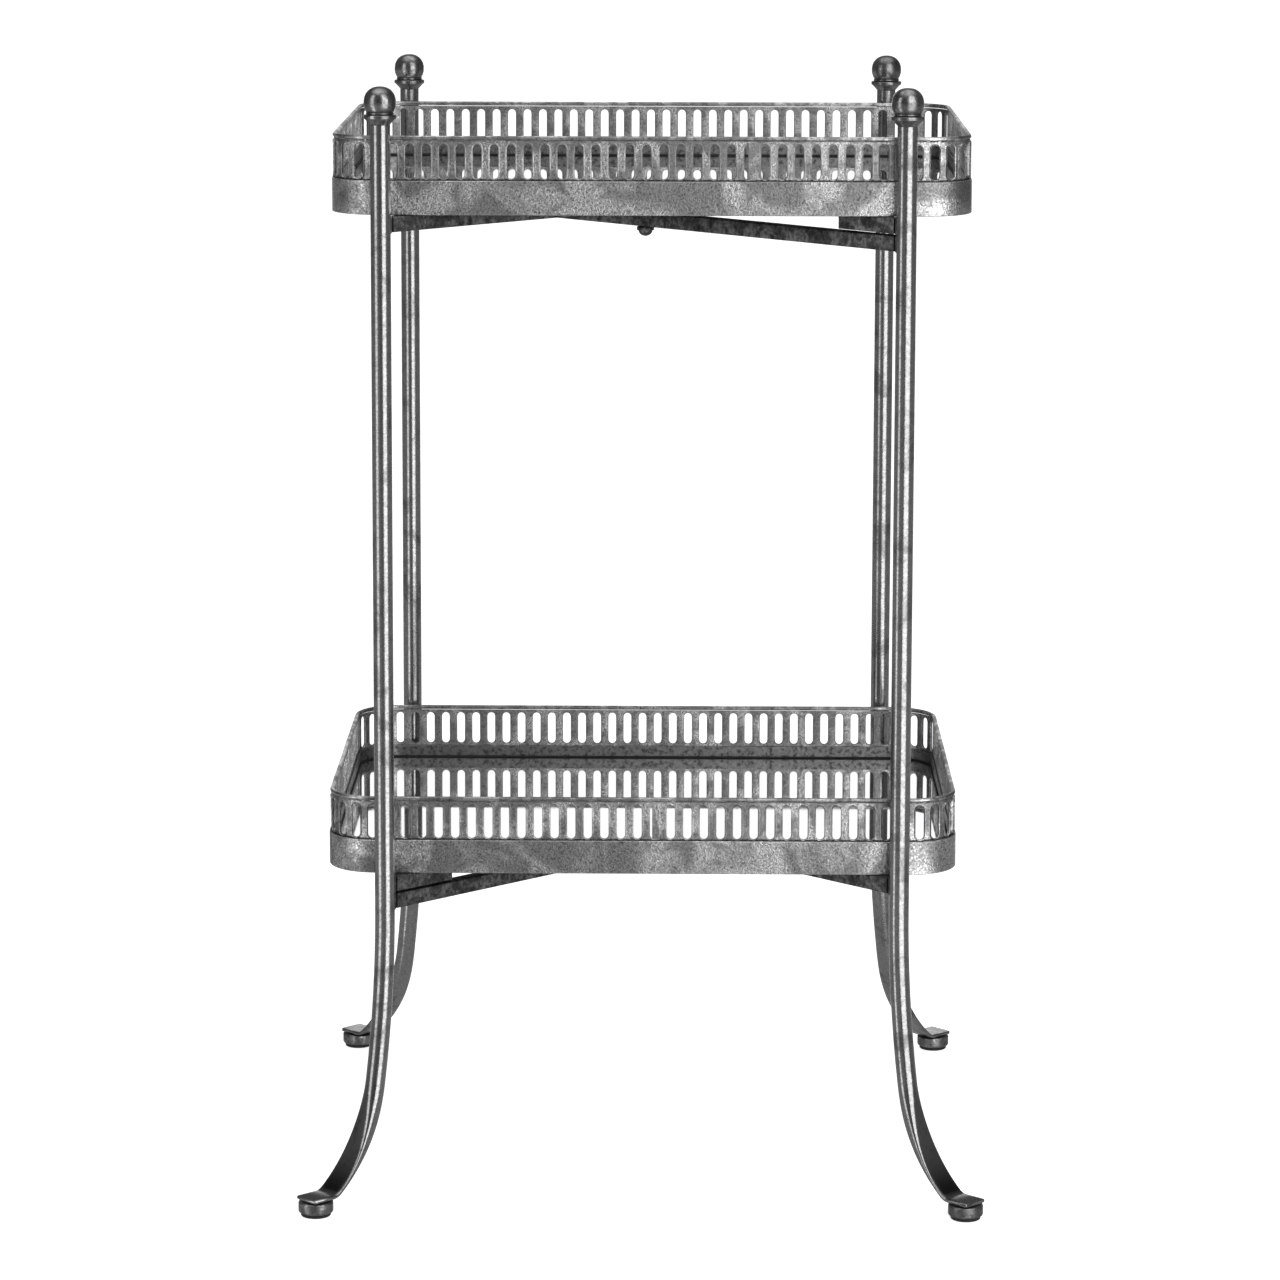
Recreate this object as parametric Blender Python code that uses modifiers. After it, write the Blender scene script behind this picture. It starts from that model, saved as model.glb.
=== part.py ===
"""Two-tier folding tray table: two pivoting leg frames that carry two removable gallery trays.

Metres, +Z up. The origin is on the floor, on the pivot axis in the middle of the table.
The front of the table faces -Y.
"""
import math

import bmesh
import bpy
from mathutils import Matrix, Vector

# ---------------------------------------------------------------------------
# Driving dimensions
# ---------------------------------------------------------------------------
TABLE_HEIGHT = 0.897            # floor to the top of the finials
TRAY_LENGTH = 0.508             # outside the band, along X
TRAY_DEPTH = 0.380              # outside the band, along Y
TRAY_CORNER_RADIUS = 0.040
UPPER_TRAY_DROP = 0.102         # top of the finials to the upper tray's underside
LOWER_TRAY_UNDERSIDE = 0.265
UPPER_TRAY_SHIFT = 0.006        # the loose upper tray sits a little to the right

LEG_RADIUS = 0.008
LEG_WALL = 0.0015
LEG_SETBACK = 0.048             # tray end to the leg's axis, along X
LEG_TO_TRAY = 0.005             # side of the leg to the band, along Y

# Foot: the tube is pressed flat and leaves the vertical in three bends, (radius, angle reached)
FOOT_BENDS = ((0.900, 9.0), (0.13214, 51.0), (0.012, 90.0))
STRAP_WIDTH = 0.023
STRAP_THICKNESS = 0.0034
TOE_BEFORE_STUD = 0.009         # end of the last bend to the glide's axis
TOE_AFTER_STUD = 0.0105

GLIDE_RADIUS = 0.014
GLIDE_HEIGHT = 0.0092
GLIDE_STUD_RADIUS = 0.003
GLIDE_STUD_DEPTH = 0.006        # stud's length inside the disc
TOE_HOLE_DEPTH = 0.0022         # blind hole in the underside of the toe
TOE_CLEARANCE = 0.0008          # glide disc to toe
GLIDE_EDGE = 0.002              # slope at the foot of the disc, down to the pad
GLIDE_TOP_EDGE = 0.0005         # eased top edge of the disc
PAD_HEIGHT = 0.0025

BALL_RADIUS = 0.01275
NECK_RADIUS = 0.0104
SEAT_RADIUS = 0.0110
SEAT_HEIGHT = 0.0016
COLLAR_RADIUS = 0.0130
COLLAR_SHOULDER = 0.0008        # rise of the rounded top edge
FLANGE_HEIGHT = 0.0032          # top of the collar to the foot of its upright side
COLLAR_SLOPE = 0.0046           # height of the slope from there down to the tube
FINIAL_STUD_RADIUS = 0.003
FINIAL_STUD_LENGTH = 0.016      # below the top of the tube
INSERT_LENGTH = 0.018

BRACE_SIZE = 0.0122             # square bar
TRAY_REST_REACH = 0.067         # leg's axis to the free end of a tray rest
PIVOT_RADIUS = 0.004
PIVOT_WASHER_RADIUS = 0.0095
PIVOT_WASHER_HEIGHT = 0.001
NUT_RADIUS = 0.0072
NUT_SKIRT = 0.003
NUT_HEIGHT = 0.008
NUT_CROWN = 0.0016              # metal left over the end of the bolt

BAND_HEIGHT = 0.027
BAND_THICKNESS = 0.0015
GALLERY_THICKNESS = 0.0012
TRAY_HEIGHT = 0.0625            # underside of the band to the top of the rim
RIM_RADIUS = 0.0019
SLOT_WIDTH = 0.0071
SLOT_ABOVE_BAND = 0.0015
SLOT_BELOW_RIM = 0.0065         # top of a slot to the top of the rim
SLOT_PITCH = 0.01336            # wanted spacing; the real one closes round the tray
SLOT_LEAD = 0.004               # shift of the whole row round the tray
BOARD_RECESS = 0.005            # band's lower edge to the board's underside
BOARD_THICKNESS = 0.008
MIRROR_THICKNESS = 0.003

FIT_GAP = 0.0003                # between pieces that touch
SHEET_GAP = 0.0006              # between nested curved sheets
BRACE_EDGE = 0.0008
OVERSHOOT = 0.002               # how far a cutter runs past the face it opens

# Mesh fineness
LEG_SIDES = 16
CORNER_STEPS = 8
TURNED_STEPS = 16
SMALL_STEPS = 12
BALL_STEPS = 7
DOME_STEPS = 4
BEND_STEPS = (3, 8, 4)
SHARP_ANGLE = math.radians(40)
MERGE_DISTANCE = 0.00001        # points on a turned piece's own axis
ROUND_POWER = 2.0               # superellipse power of the tube's section
STRAP_POWER = 6.0               # and of the strap's
HALF_TURN = math.pi

# ---------------------------------------------------------------------------
# Worked-out dimensions
# ---------------------------------------------------------------------------
UPPER_TRAY_UNDERSIDE = TABLE_HEIGHT - UPPER_TRAY_DROP
LEG_X = TRAY_LENGTH / 2 - LEG_SETBACK
LEG_Y = TRAY_DEPTH / 2 + LEG_TO_TRAY + LEG_RADIUS
LEG_REACH = math.hypot(LEG_X, LEG_Y)
FRAME_ANGLE = math.atan2(LEG_Y, LEG_X)

BALL_DEPTH = BALL_RADIUS + math.sqrt(BALL_RADIUS ** 2 - NECK_RADIUS ** 2)
COLLAR_TOP = TABLE_HEIGHT - BALL_DEPTH - SEAT_HEIGHT - FIT_GAP
COLLAR_BOTTOM = COLLAR_TOP - FLANGE_HEIGHT - COLLAR_SLOPE
LEG_TOP = COLLAR_BOTTOM - FIT_GAP

GLIDE_BOTTOM = PAD_HEIGHT + FIT_GAP
GLIDE_TOP = GLIDE_BOTTOM + GLIDE_HEIGHT
TOE_BOTTOM = GLIDE_TOP + TOE_CLEARANCE
TOE_CENTRE = TOE_BOTTOM + STRAP_THICKNESS / 2
PAD_RADIUS = GLIDE_RADIUS - GLIDE_EDGE

PIVOT_STEP = BRACE_SIZE + PIVOT_WASHER_HEIGHT + 2 * FIT_GAP

SLOT_BOTTOM = BAND_HEIGHT + SLOT_ABOVE_BAND
SLOT_TOP = TRAY_HEIGHT - SLOT_BELOW_RIM

# (name, X sign, Y sign) of the legs in each frame
FRAME_LEGS = {
    "frame_a": (("front_left", -1, -1), ("back_right", 1, 1)),
    "frame_b": (("front_right", 1, -1), ("back_left", -1, 1)),
}
FRAME_TURN = {"frame_a": FRAME_ANGLE, "frame_b": -FRAME_ANGLE}


# ---------------------------------------------------------------------------
# Scene and small helpers
# ---------------------------------------------------------------------------
def clear_scene():
    for old in list(bpy.data.objects):
        bpy.data.objects.remove(old, do_unlink=True)


def new_collection(name):
    collection = bpy.data.collections.new(name)
    bpy.context.scene.collection.children.link(collection)
    return collection


clear_scene()
TABLE = new_collection("folding_tray_table")
CUTTERS = new_collection("cutters")


def material(name, colour, roughness, metallic):
    made = bpy.data.materials.new(name)
    made.use_nodes = True
    shader = made.node_tree.nodes["Principled BSDF"]
    shader.inputs["Base Color"].default_value = (*colour, 1.0)
    shader.inputs["Roughness"].default_value = roughness
    shader.inputs["Metallic"].default_value = metallic
    return made


MATERIALS = {
    "leg": material("antique_silver_tube", (0.20, 0.20, 0.20), 0.30, 1.0),
    "finial": material("antique_silver_turned", (0.22, 0.22, 0.22), 0.25, 1.0),
    "insert": material("plain_steel", (0.45, 0.45, 0.45), 0.45, 1.0),
    "brace": material("dark_bar", (0.12, 0.12, 0.12), 0.50, 1.0),
    "pivot": material("dark_fixings", (0.10, 0.10, 0.10), 0.45, 1.0),
    "glide": material("black_nickel", (0.09, 0.09, 0.09), 0.25, 1.0),
    "pad": material("black_rubber", (0.02, 0.02, 0.02), 0.80, 0.0),
    "band": material("antique_silver_band", (0.36, 0.36, 0.36), 0.38, 1.0),
    "gallery": material("antique_silver_gallery", (0.33, 0.33, 0.33), 0.40, 1.0),
    "rim": material("antique_silver_rim", (0.38, 0.38, 0.38), 0.35, 1.0),
    "board": material("black_board", (0.03, 0.03, 0.03), 0.70, 0.0),
    "mirror": material("mirror_glass", (0.80, 0.80, 0.80), 0.03, 1.0),
}


def add_object(name, data, finish, parent, location=(0, 0, 0), turn=0.0):
    """Put one sub-part in the table's collection, under its body's empty."""
    made = bpy.data.objects.new(name, data)
    TABLE.objects.link(made)
    data.materials.append(MATERIALS[finish])
    made.parent = parent
    made.location = location
    made.rotation_euler = (0, 0, turn)
    return made


def add_empty(name, parent=None, location=(0, 0, 0)):
    made = bpy.data.objects.new(name, None)
    TABLE.objects.link(made)
    made.parent = parent
    made.location = location
    return made


def add_cutter(name, mesh, parent, location=(0, 0, 0), turn=0.0):
    made = bpy.data.objects.new(name, mesh)
    CUTTERS.objects.link(made)
    made.parent = parent
    made.location = location
    made.rotation_euler = (0, 0, turn)
    made.hide_render = True
    made.display_type = "WIRE"
    return made


def cut(target, cutter):
    modifier = target.modifiers.new(cutter.name, "BOOLEAN")
    modifier.operation = "DIFFERENCE"
    modifier.solver = "EXACT"
    modifier.object = cutter


def finish_mesh(name, bm, smooth=False):
    mesh = bpy.data.meshes.new(name)
    bm.to_mesh(mesh)
    bm.free()
    if smooth:
        mesh.shade_smooth()
        mesh.set_sharp_from_angle(angle=SHARP_ANGLE)
    return mesh


def cylinder_mesh(name, radius, low, high, sides=TURNED_STEPS):
    """Upright cylinder between two heights."""
    bm = bmesh.new()
    bmesh.ops.create_cone(
        bm,
        cap_ends=True,
        segments=sides,
        radius1=radius,
        radius2=radius,
        depth=high - low,
        matrix=Matrix.Translation((0, 0, (low + high) / 2)),
    )
    return finish_mesh(name, bm, smooth=True)


def turned(name, profile, finish, parent, location=(0, 0, 0), closed=False, steps=TURNED_STEPS):
    """Turned piece: (radius, height) points down the outer side, swept round Z by a Screw modifier."""
    bm = bmesh.new()
    points = [bm.verts.new((radius, 0, height)) for radius, height in profile]
    pairs = list(zip(points, points[1:]))
    if closed:
        pairs.append((points[-1], points[0]))
    for start, end in pairs:
        bm.edges.new((start, end))
    made = add_object(name, finish_mesh(name, bm), finish, parent, location)
    screw = made.modifiers.new("turn", "SCREW")
    screw.axis = "Z"
    screw.steps = steps
    screw.render_steps = steps
    screw.use_merge_vertices = True
    screw.merge_threshold = MERGE_DISTANCE
    screw.use_smooth_shade = True
    return made


def ring_profile(inner, outer, low, high, edge):
    """Flat ring with its outer corners eased, as a closed profile."""
    return (
        (inner, high),
        (outer - edge, high),
        (outer, high - edge),
        (outer, low + edge),
        (outer - edge, low),
        (inner, low),
    )


def bar_mesh(name, start, end):
    """Square bar along X with eased edges, its top face at Z = 0."""
    bm = bmesh.new()
    bmesh.ops.create_cube(bm, size=1.0)
    size = Vector((end - start, BRACE_SIZE, BRACE_SIZE))
    bmesh.ops.scale(bm, vec=size, verts=bm.verts)
    bmesh.ops.translate(bm, vec=((start + end) / 2, 0, -BRACE_SIZE / 2), verts=bm.verts)
    return finish_mesh(name, bm)


def ease_edges(target, width):
    bevel = target.modifiers.new("eased_edges", "BEVEL")
    bevel.width = width
    bevel.segments = 1
    bevel.limit_method = "ANGLE"


# ---------------------------------------------------------------------------
# Legs
# ---------------------------------------------------------------------------
def foot_path():
    """Centre line of a leg from the top, as (outward, height, angle from vertical, flattening)."""
    drop = 0.0
    outward = 0.0
    angle = 0.0
    points = []
    for (radius, reached), steps in zip(FOOT_BENDS, BEND_STEPS):
        reached = math.radians(reached)
        for step in range(1, steps + 1):
            now = angle + (reached - angle) * step / steps
            points.append((
                outward + radius * (math.cos(angle) - math.cos(now)),
                drop + radius * (math.sin(now) - math.sin(angle)),
                now,
            ))
        outward, drop, angle = points[-1]
    flat_from = math.radians(FOOT_BENDS[0][1])
    flat_to = math.radians(FOOT_BENDS[1][1])
    start = TOE_CENTRE + drop
    path = [(0.0, LEG_TOP, 0.0, 0.0), (0.0, start, 0.0, 0.0)]
    for out, fallen, now in points:
        share = min(1.0, max(0.0, (now - flat_from) / (flat_to - flat_from)))
        path.append((out, start - fallen, now, share))
    toe_end = outward + TOE_BEFORE_STUD + TOE_AFTER_STUD
    path.append((toe_end, TOE_CENTRE, HALF_TURN / 2, 1.0))
    return path


FOOT_PATH = foot_path()
BEND_START = FOOT_PATH[1][1]
FOOT_OUT = FOOT_PATH[-1][0] - TOE_AFTER_STUD
GLIDE_REACH = LEG_REACH + FOOT_OUT


def leg_section(flattening):
    """Half width, half thickness and squareness of the tube after pressing."""
    eased = flattening * flattening * (3 - 2 * flattening)
    half_width = LEG_RADIUS + (STRAP_WIDTH / 2 - LEG_RADIUS) * eased
    half_thickness = LEG_RADIUS + (STRAP_THICKNESS / 2 - LEG_RADIUS) * eased
    squareness = ROUND_POWER + (STRAP_POWER - ROUND_POWER) * eased
    return half_width, half_thickness, squareness


def signed_power(value, power):
    return math.copysign(abs(value) ** power, value)


def leg_mesh(name):
    """Loft of a round tube into a flat strap, bending towards +X as it nears the floor."""
    bm = bmesh.new()
    rings = []
    for outward, height, angle, flattening in FOOT_PATH:
        half_width, half_thickness, squareness = leg_section(flattening)
        across = Vector((math.cos(angle), 0, math.sin(angle)))
        ring = []
        for side in range(LEG_SIDES):
            turn = 2 * HALF_TURN * side / LEG_SIDES
            thick = half_thickness * signed_power(math.cos(turn), 2 / squareness)
            wide = half_width * signed_power(math.sin(turn), 2 / squareness)
            ring.append(bm.verts.new(Vector((outward, wide, height)) + across * thick))
        rings.append(ring)
    for above, below in zip(rings, rings[1:]):
        for side in range(LEG_SIDES):
            after = (side + 1) % LEG_SIDES
            bm.faces.new((above[side], below[side], below[after], above[after]))
    bm.faces.new(rings[0])
    bm.faces.new(reversed(rings[-1]))
    bmesh.ops.recalc_face_normals(bm, faces=bm.faces)
    return finish_mesh(name, bm, smooth=True)


def add_leg(place, x_sign, y_sign, body):
    outward = math.atan2(y_sign * LEG_Y, x_sign * LEG_X)
    spot = (x_sign * LEG_X, y_sign * LEG_Y, 0)
    leg = add_object("leg_" + place, leg_mesh("leg_" + place), "leg", body, spot, outward)
    bore = cylinder_mesh("bore_" + place, LEG_RADIUS - LEG_WALL, BEND_START, LEG_TOP + OVERSHOOT)
    cut(leg, add_cutter("bore_" + place, bore, body, spot, outward))
    hole = cylinder_mesh(
        "toe_hole_" + place,
        GLIDE_STUD_RADIUS + FIT_GAP,
        TOE_BOTTOM - OVERSHOOT,
        TOE_BOTTOM + TOE_HOLE_DEPTH,
    )
    glide = glide_spot(x_sign, y_sign)
    cut(leg, add_cutter("toe_hole_" + place, hole, body, (glide.x, glide.y, 0)))


def glide_spot(x_sign, y_sign):
    reach = GLIDE_REACH / LEG_REACH
    return Vector((x_sign * LEG_X * reach, y_sign * LEG_Y * reach, 0))


# ---------------------------------------------------------------------------
# Finials
# ---------------------------------------------------------------------------
def add_finial(place, x_sign, y_sign, body):
    """Ball, neck, seat ring and stud, turned in one piece."""
    spot = (x_sign * LEG_X, y_sign * LEG_Y, 0)
    centre = TABLE_HEIGHT - BALL_RADIUS
    last = HALF_TURN - math.asin(NECK_RADIUS / BALL_RADIUS)
    profile = [(0, TABLE_HEIGHT)]
    for step in range(1, BALL_STEPS + 1):
        turn = last * step / BALL_STEPS
        profile.append((BALL_RADIUS * math.sin(turn), centre + BALL_RADIUS * math.cos(turn)))
    neck = TABLE_HEIGHT - BALL_DEPTH
    stud_end = LEG_TOP - FINIAL_STUD_LENGTH
    profile += [
        (SEAT_RADIUS, neck - SEAT_HEIGHT / 2),
        (NECK_RADIUS, neck - SEAT_HEIGHT),
        (FINIAL_STUD_RADIUS, neck - SEAT_HEIGHT),
        (FINIAL_STUD_RADIUS, stud_end),
        (0, stud_end),
    ]
    turned("finial_" + place, profile, "finial", body, spot)


def add_collar(place, x_sign, y_sign, body):
    """Flange under the finial, sloping in to the top of the tube."""
    spot = (x_sign * LEG_X, y_sign * LEG_Y, 0)
    hole = FINIAL_STUD_RADIUS + FIT_GAP
    profile = (
        (hole, COLLAR_TOP),
        (SEAT_RADIUS, COLLAR_TOP),
        (COLLAR_RADIUS, COLLAR_TOP - COLLAR_SHOULDER),
        (COLLAR_RADIUS, COLLAR_TOP - FLANGE_HEIGHT),
        (LEG_RADIUS, COLLAR_BOTTOM),
        (hole, COLLAR_BOTTOM),
    )
    turned("finial_collar_" + place, profile, "finial", body, spot, closed=True)


def add_insert(place, x_sign, y_sign, body):
    """Threaded plug inside the tube that the finial screws into."""
    spot = (x_sign * LEG_X, y_sign * LEG_Y, 0)
    top = LEG_TOP - FIT_GAP
    profile = ring_profile(
        FINIAL_STUD_RADIUS + FIT_GAP,
        LEG_RADIUS - LEG_WALL - FIT_GAP,
        top - INSERT_LENGTH,
        top,
        FIT_GAP,
    )
    turned("leg_insert_" + place, profile, "insert", body, spot, closed=True, steps=SMALL_STEPS)


# ---------------------------------------------------------------------------
# Glides under the feet
# ---------------------------------------------------------------------------
def add_glide(place, x_sign, y_sign, frame):
    spot = glide_spot(x_sign, y_sign)
    axis = add_empty("glide_axis_" + place, frame, spot)
    bore = GLIDE_STUD_RADIUS + FIT_GAP
    bore_floor = GLIDE_TOP - GLIDE_STUD_DEPTH - FIT_GAP
    disc = (
        (0, bore_floor),
        (bore, bore_floor),
        (bore, GLIDE_TOP),
        (GLIDE_RADIUS - GLIDE_TOP_EDGE, GLIDE_TOP),
        (GLIDE_RADIUS, GLIDE_TOP - GLIDE_TOP_EDGE),
        (GLIDE_RADIUS, GLIDE_BOTTOM + GLIDE_EDGE),
        (PAD_RADIUS, GLIDE_BOTTOM),
        (0, GLIDE_BOTTOM),
    )
    turned("glide_disc_" + place, disc, "glide", axis)
    pad = (
        (0, PAD_HEIGHT),
        (PAD_RADIUS, PAD_HEIGHT),
        (PAD_RADIUS, PAD_HEIGHT / 2),
        (PAD_RADIUS - PAD_HEIGHT / 2, 0),
        (0, 0),
    )
    turned("glide_pad_" + place, pad, "pad", axis)
    stud = cylinder_mesh(
        "glide_stud_" + place,
        GLIDE_STUD_RADIUS,
        GLIDE_TOP - GLIDE_STUD_DEPTH,
        TOE_BOTTOM + TOE_HOLE_DEPTH - FIT_GAP,
        SMALL_STEPS,
    )
    add_object("glide_stud_" + place, stud, "insert", axis)


# ---------------------------------------------------------------------------
# Braces, tray rests and pivots
# ---------------------------------------------------------------------------
def add_brace(name, frame, body, top):
    """Square bar from leg to leg, drilled for the pivot bolt."""
    reach = LEG_REACH - LEG_RADIUS - FIT_GAP
    turn = FRAME_TURN[frame]
    brace = add_object(name, bar_mesh(name, -reach, reach), "brace", body, (0, 0, top), turn)
    ease_edges(brace, BRACE_EDGE)
    low = -BRACE_SIZE - OVERSHOOT
    hole = cylinder_mesh(name + "_hole", PIVOT_RADIUS + FIT_GAP, low, OVERSHOOT)
    cut(brace, add_cutter(name + "_hole", hole, body, (0, 0, top), turn))


def add_tray_rest(name, x_sign, y_sign, body, top):
    """Short bar on a leg, level with the other frame's brace."""
    inward = math.atan2(-y_sign * LEG_Y, -x_sign * LEG_X)
    spot = (x_sign * LEG_X, y_sign * LEG_Y, top)
    mesh = bar_mesh(name, LEG_RADIUS + FIT_GAP, TRAY_REST_REACH)
    ease_edges(add_object(name, mesh, "brace", body, spot, inward), BRACE_EDGE)


def add_pivot(level, body, top):
    """Bolt fixed flush in the upper bar, washer between the bars, domed nut below."""
    low_bar_bottom = top - PIVOT_STEP - BRACE_SIZE
    nut_top = low_bar_bottom - FIT_GAP
    bolt_end = nut_top - NUT_HEIGHT + NUT_CROWN + FIT_GAP
    bolt = cylinder_mesh("pivot_bolt_" + level, PIVOT_RADIUS, bolt_end, top - FIT_GAP)
    add_object("pivot_bolt_" + level, bolt, "pivot", body)
    hole = PIVOT_RADIUS + FIT_GAP
    washer_top = top - BRACE_SIZE - FIT_GAP
    washer = ring_profile(
        hole,
        PIVOT_WASHER_RADIUS,
        washer_top - PIVOT_WASHER_HEIGHT,
        washer_top,
        FIT_GAP,
    )
    turned("pivot_washer_" + level, washer, "pivot", body, closed=True)
    profile = [
        (0, bolt_end - FIT_GAP),
        (hole, bolt_end - FIT_GAP),
        (hole, nut_top),
        (NUT_RADIUS, nut_top),
    ]
    dome = NUT_HEIGHT - NUT_SKIRT
    for step in range(DOME_STEPS + 1):
        turn = HALF_TURN / 2 * step / DOME_STEPS
        profile.append((NUT_RADIUS * math.cos(turn), nut_top - NUT_SKIRT - dome * math.sin(turn)))
    profile[-1] = (0, nut_top - NUT_HEIGHT)
    turned("pivot_nut_" + level, profile, "pivot", body)


# ---------------------------------------------------------------------------
# Trays
# ---------------------------------------------------------------------------
def outline(inset):
    """Rounded rectangle, inset from the tray's outside, counter-clockwise from the front right corner."""
    radius = TRAY_CORNER_RADIUS - inset
    corner_x = TRAY_LENGTH / 2 - TRAY_CORNER_RADIUS
    corner_y = TRAY_DEPTH / 2 - TRAY_CORNER_RADIUS
    points = []
    for quarter, (x_sign, y_sign) in enumerate(((1, -1), (1, 1), (-1, 1), (-1, -1))):
        for step in range(CORNER_STEPS + 1):
            turn = HALF_TURN / 2 * (quarter - 1 + step / CORNER_STEPS)
            points.append(Vector((
                x_sign * corner_x + radius * math.cos(turn),
                y_sign * corner_y + radius * math.sin(turn),
                0,
            )))
    return points


def outline_curve(name, inset):
    curve = bpy.data.curves.new(name, "CURVE")
    points = outline(inset)
    spline = curve.splines.new("POLY")
    spline.points.add(len(points) - 1)
    for point, spot in zip(spline.points, points):
        point.co = (*spot, 1.0)
    spline.use_cyclic_u = True
    return curve


def add_sheet_ring(name, finish, tray, inset, thickness, low, high):
    """Upright sheet bent round the tray: an open wall given its thickness inward."""
    bm = bmesh.new()
    lower = [bm.verts.new((spot.x, spot.y, low)) for spot in outline(inset)]
    edges = [bm.edges.new((a, b)) for a, b in zip(lower, lower[1:] + lower[:1])]
    raised = bmesh.ops.extrude_edge_only(bm, edges=edges)["geom"]
    tops = [item for item in raised if isinstance(item, bmesh.types.BMVert)]
    bmesh.ops.translate(bm, vec=(0, 0, high - low), verts=tops)
    bmesh.ops.recalc_face_normals(bm, faces=bm.faces)
    made = add_object(name, finish_mesh(name, bm, smooth=True), finish, tray)
    solid = made.modifiers.new("sheet", "SOLIDIFY")
    solid.thickness = thickness
    solid.offset = -1.0
    solid.use_even_offset = True
    return made


def add_plate(name, finish, tray, inset, low, thickness):
    """Flat plate in the tray's outline."""
    curve = outline_curve(name, inset)
    curve.dimensions = "2D"
    curve.fill_mode = "BOTH"
    curve.extrude = thickness / 2
    return add_object(name, curve, finish, tray, (0, 0, low + thickness / 2))


def walk_outline(inset, count):
    """Evenly spaced (spot, outward direction) pairs round the rounded rectangle."""
    radius = TRAY_CORNER_RADIUS - inset
    long_side = TRAY_LENGTH - 2 * TRAY_CORNER_RADIUS
    short_side = TRAY_DEPTH - 2 * TRAY_CORNER_RADIUS
    quarter = HALF_TURN / 2 * radius
    perimeter = 2 * (long_side + short_side) + 4 * quarter
    stops = []
    for index in range(count):
        along = (perimeter * (index + 0.5) / count + SLOT_LEAD) % perimeter
        heading = 0
        start = Vector((-long_side / 2, -TRAY_DEPTH / 2 + inset, 0))
        for side in (long_side, short_side, long_side, short_side):
            ahead = Vector((math.cos(heading), math.sin(heading), 0))
            outward = Vector((ahead.y, -ahead.x, 0))
            if along <= side:
                stops.append((start + ahead * along, outward))
                break
            along -= side
            start = start + ahead * side
            pivot = start - outward * radius
            if along <= quarter:
                swing = Matrix.Rotation(along / radius, 3, "Z")
                stops.append((pivot + swing @ (outward * radius), swing @ outward))
                break
            along -= quarter
            heading += HALF_TURN / 2
            start = pivot + ahead * radius
    return stops


def slot_outline():
    """Slot with chamfered ends, as (across, up) points."""
    half = SLOT_WIDTH / 2
    cheek = half * math.tan(HALF_TURN / 8)
    return (
        (-half, SLOT_BOTTOM + half - cheek),
        (-cheek, SLOT_BOTTOM),
        (cheek, SLOT_BOTTOM),
        (half, SLOT_BOTTOM + half - cheek),
        (half, SLOT_TOP - half + cheek),
        (cheek, SLOT_TOP),
        (-cheek, SLOT_TOP),
        (-half, SLOT_TOP - half + cheek),
    )


def slot_cutters_mesh(name, inset):
    """One closed prism for every slot round the gallery."""
    radius = TRAY_CORNER_RADIUS - inset
    perimeter = 2 * (TRAY_LENGTH + TRAY_DEPTH - 4 * TRAY_CORNER_RADIUS) + 2 * HALF_TURN * radius
    count = round(perimeter / SLOT_PITCH)
    half_depth = GALLERY_THICKNESS / 2 + OVERSHOOT
    bm = bmesh.new()
    for spot, outward in walk_outline(inset, count):
        along = Vector((-outward.y, outward.x, 0))
        corners = [
            bm.verts.new(spot - outward * half_depth + along * across + Vector((0, 0, up)))
            for across, up in slot_outline()
        ]
        face = bm.faces.new(corners)
        pushed = bmesh.ops.extrude_face_region(bm, geom=[face])["geom"]
        moved = [item for item in pushed if isinstance(item, bmesh.types.BMVert)]
        bmesh.ops.translate(bm, vec=outward * 2 * half_depth, verts=moved)
    bmesh.ops.recalc_face_normals(bm, faces=bm.faces)
    return finish_mesh(name, bm)


def add_tray(name, body):
    """Band, gallery, rim, base board and mirror, measured up from the band's lower edge."""
    add_sheet_ring(name + "_band", "band", body, 0.0, BAND_THICKNESS, 0.0, BAND_HEIGHT)

    gallery_inset = BAND_THICKNESS + SHEET_GAP
    gallery_top = TRAY_HEIGHT - 2 * RIM_RADIUS - FIT_GAP
    gallery = add_sheet_ring(
        name + "_gallery",
        "gallery",
        body,
        gallery_inset,
        GALLERY_THICKNESS,
        BOARD_RECESS,
        gallery_top,
    )
    middle = gallery_inset + GALLERY_THICKNESS / 2
    cut(gallery, add_cutter(name + "_slots", slot_cutters_mesh(name + "_slots", middle), body))

    rim = outline_curve(name + "_rim", middle)
    rim.dimensions = "3D"
    rim.bevel_depth = RIM_RADIUS
    rim.bevel_resolution = 2
    add_object(name + "_rim", rim, "rim", body, (0, 0, TRAY_HEIGHT - RIM_RADIUS))

    floor_inset = gallery_inset + GALLERY_THICKNESS + SHEET_GAP
    add_plate(name + "_board", "board", body, floor_inset, BOARD_RECESS, BOARD_THICKNESS)
    mirror_low = BOARD_RECESS + BOARD_THICKNESS + FIT_GAP
    add_plate(name + "_mirror", "mirror", body, floor_inset, mirror_low, MIRROR_THICKNESS)


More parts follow.
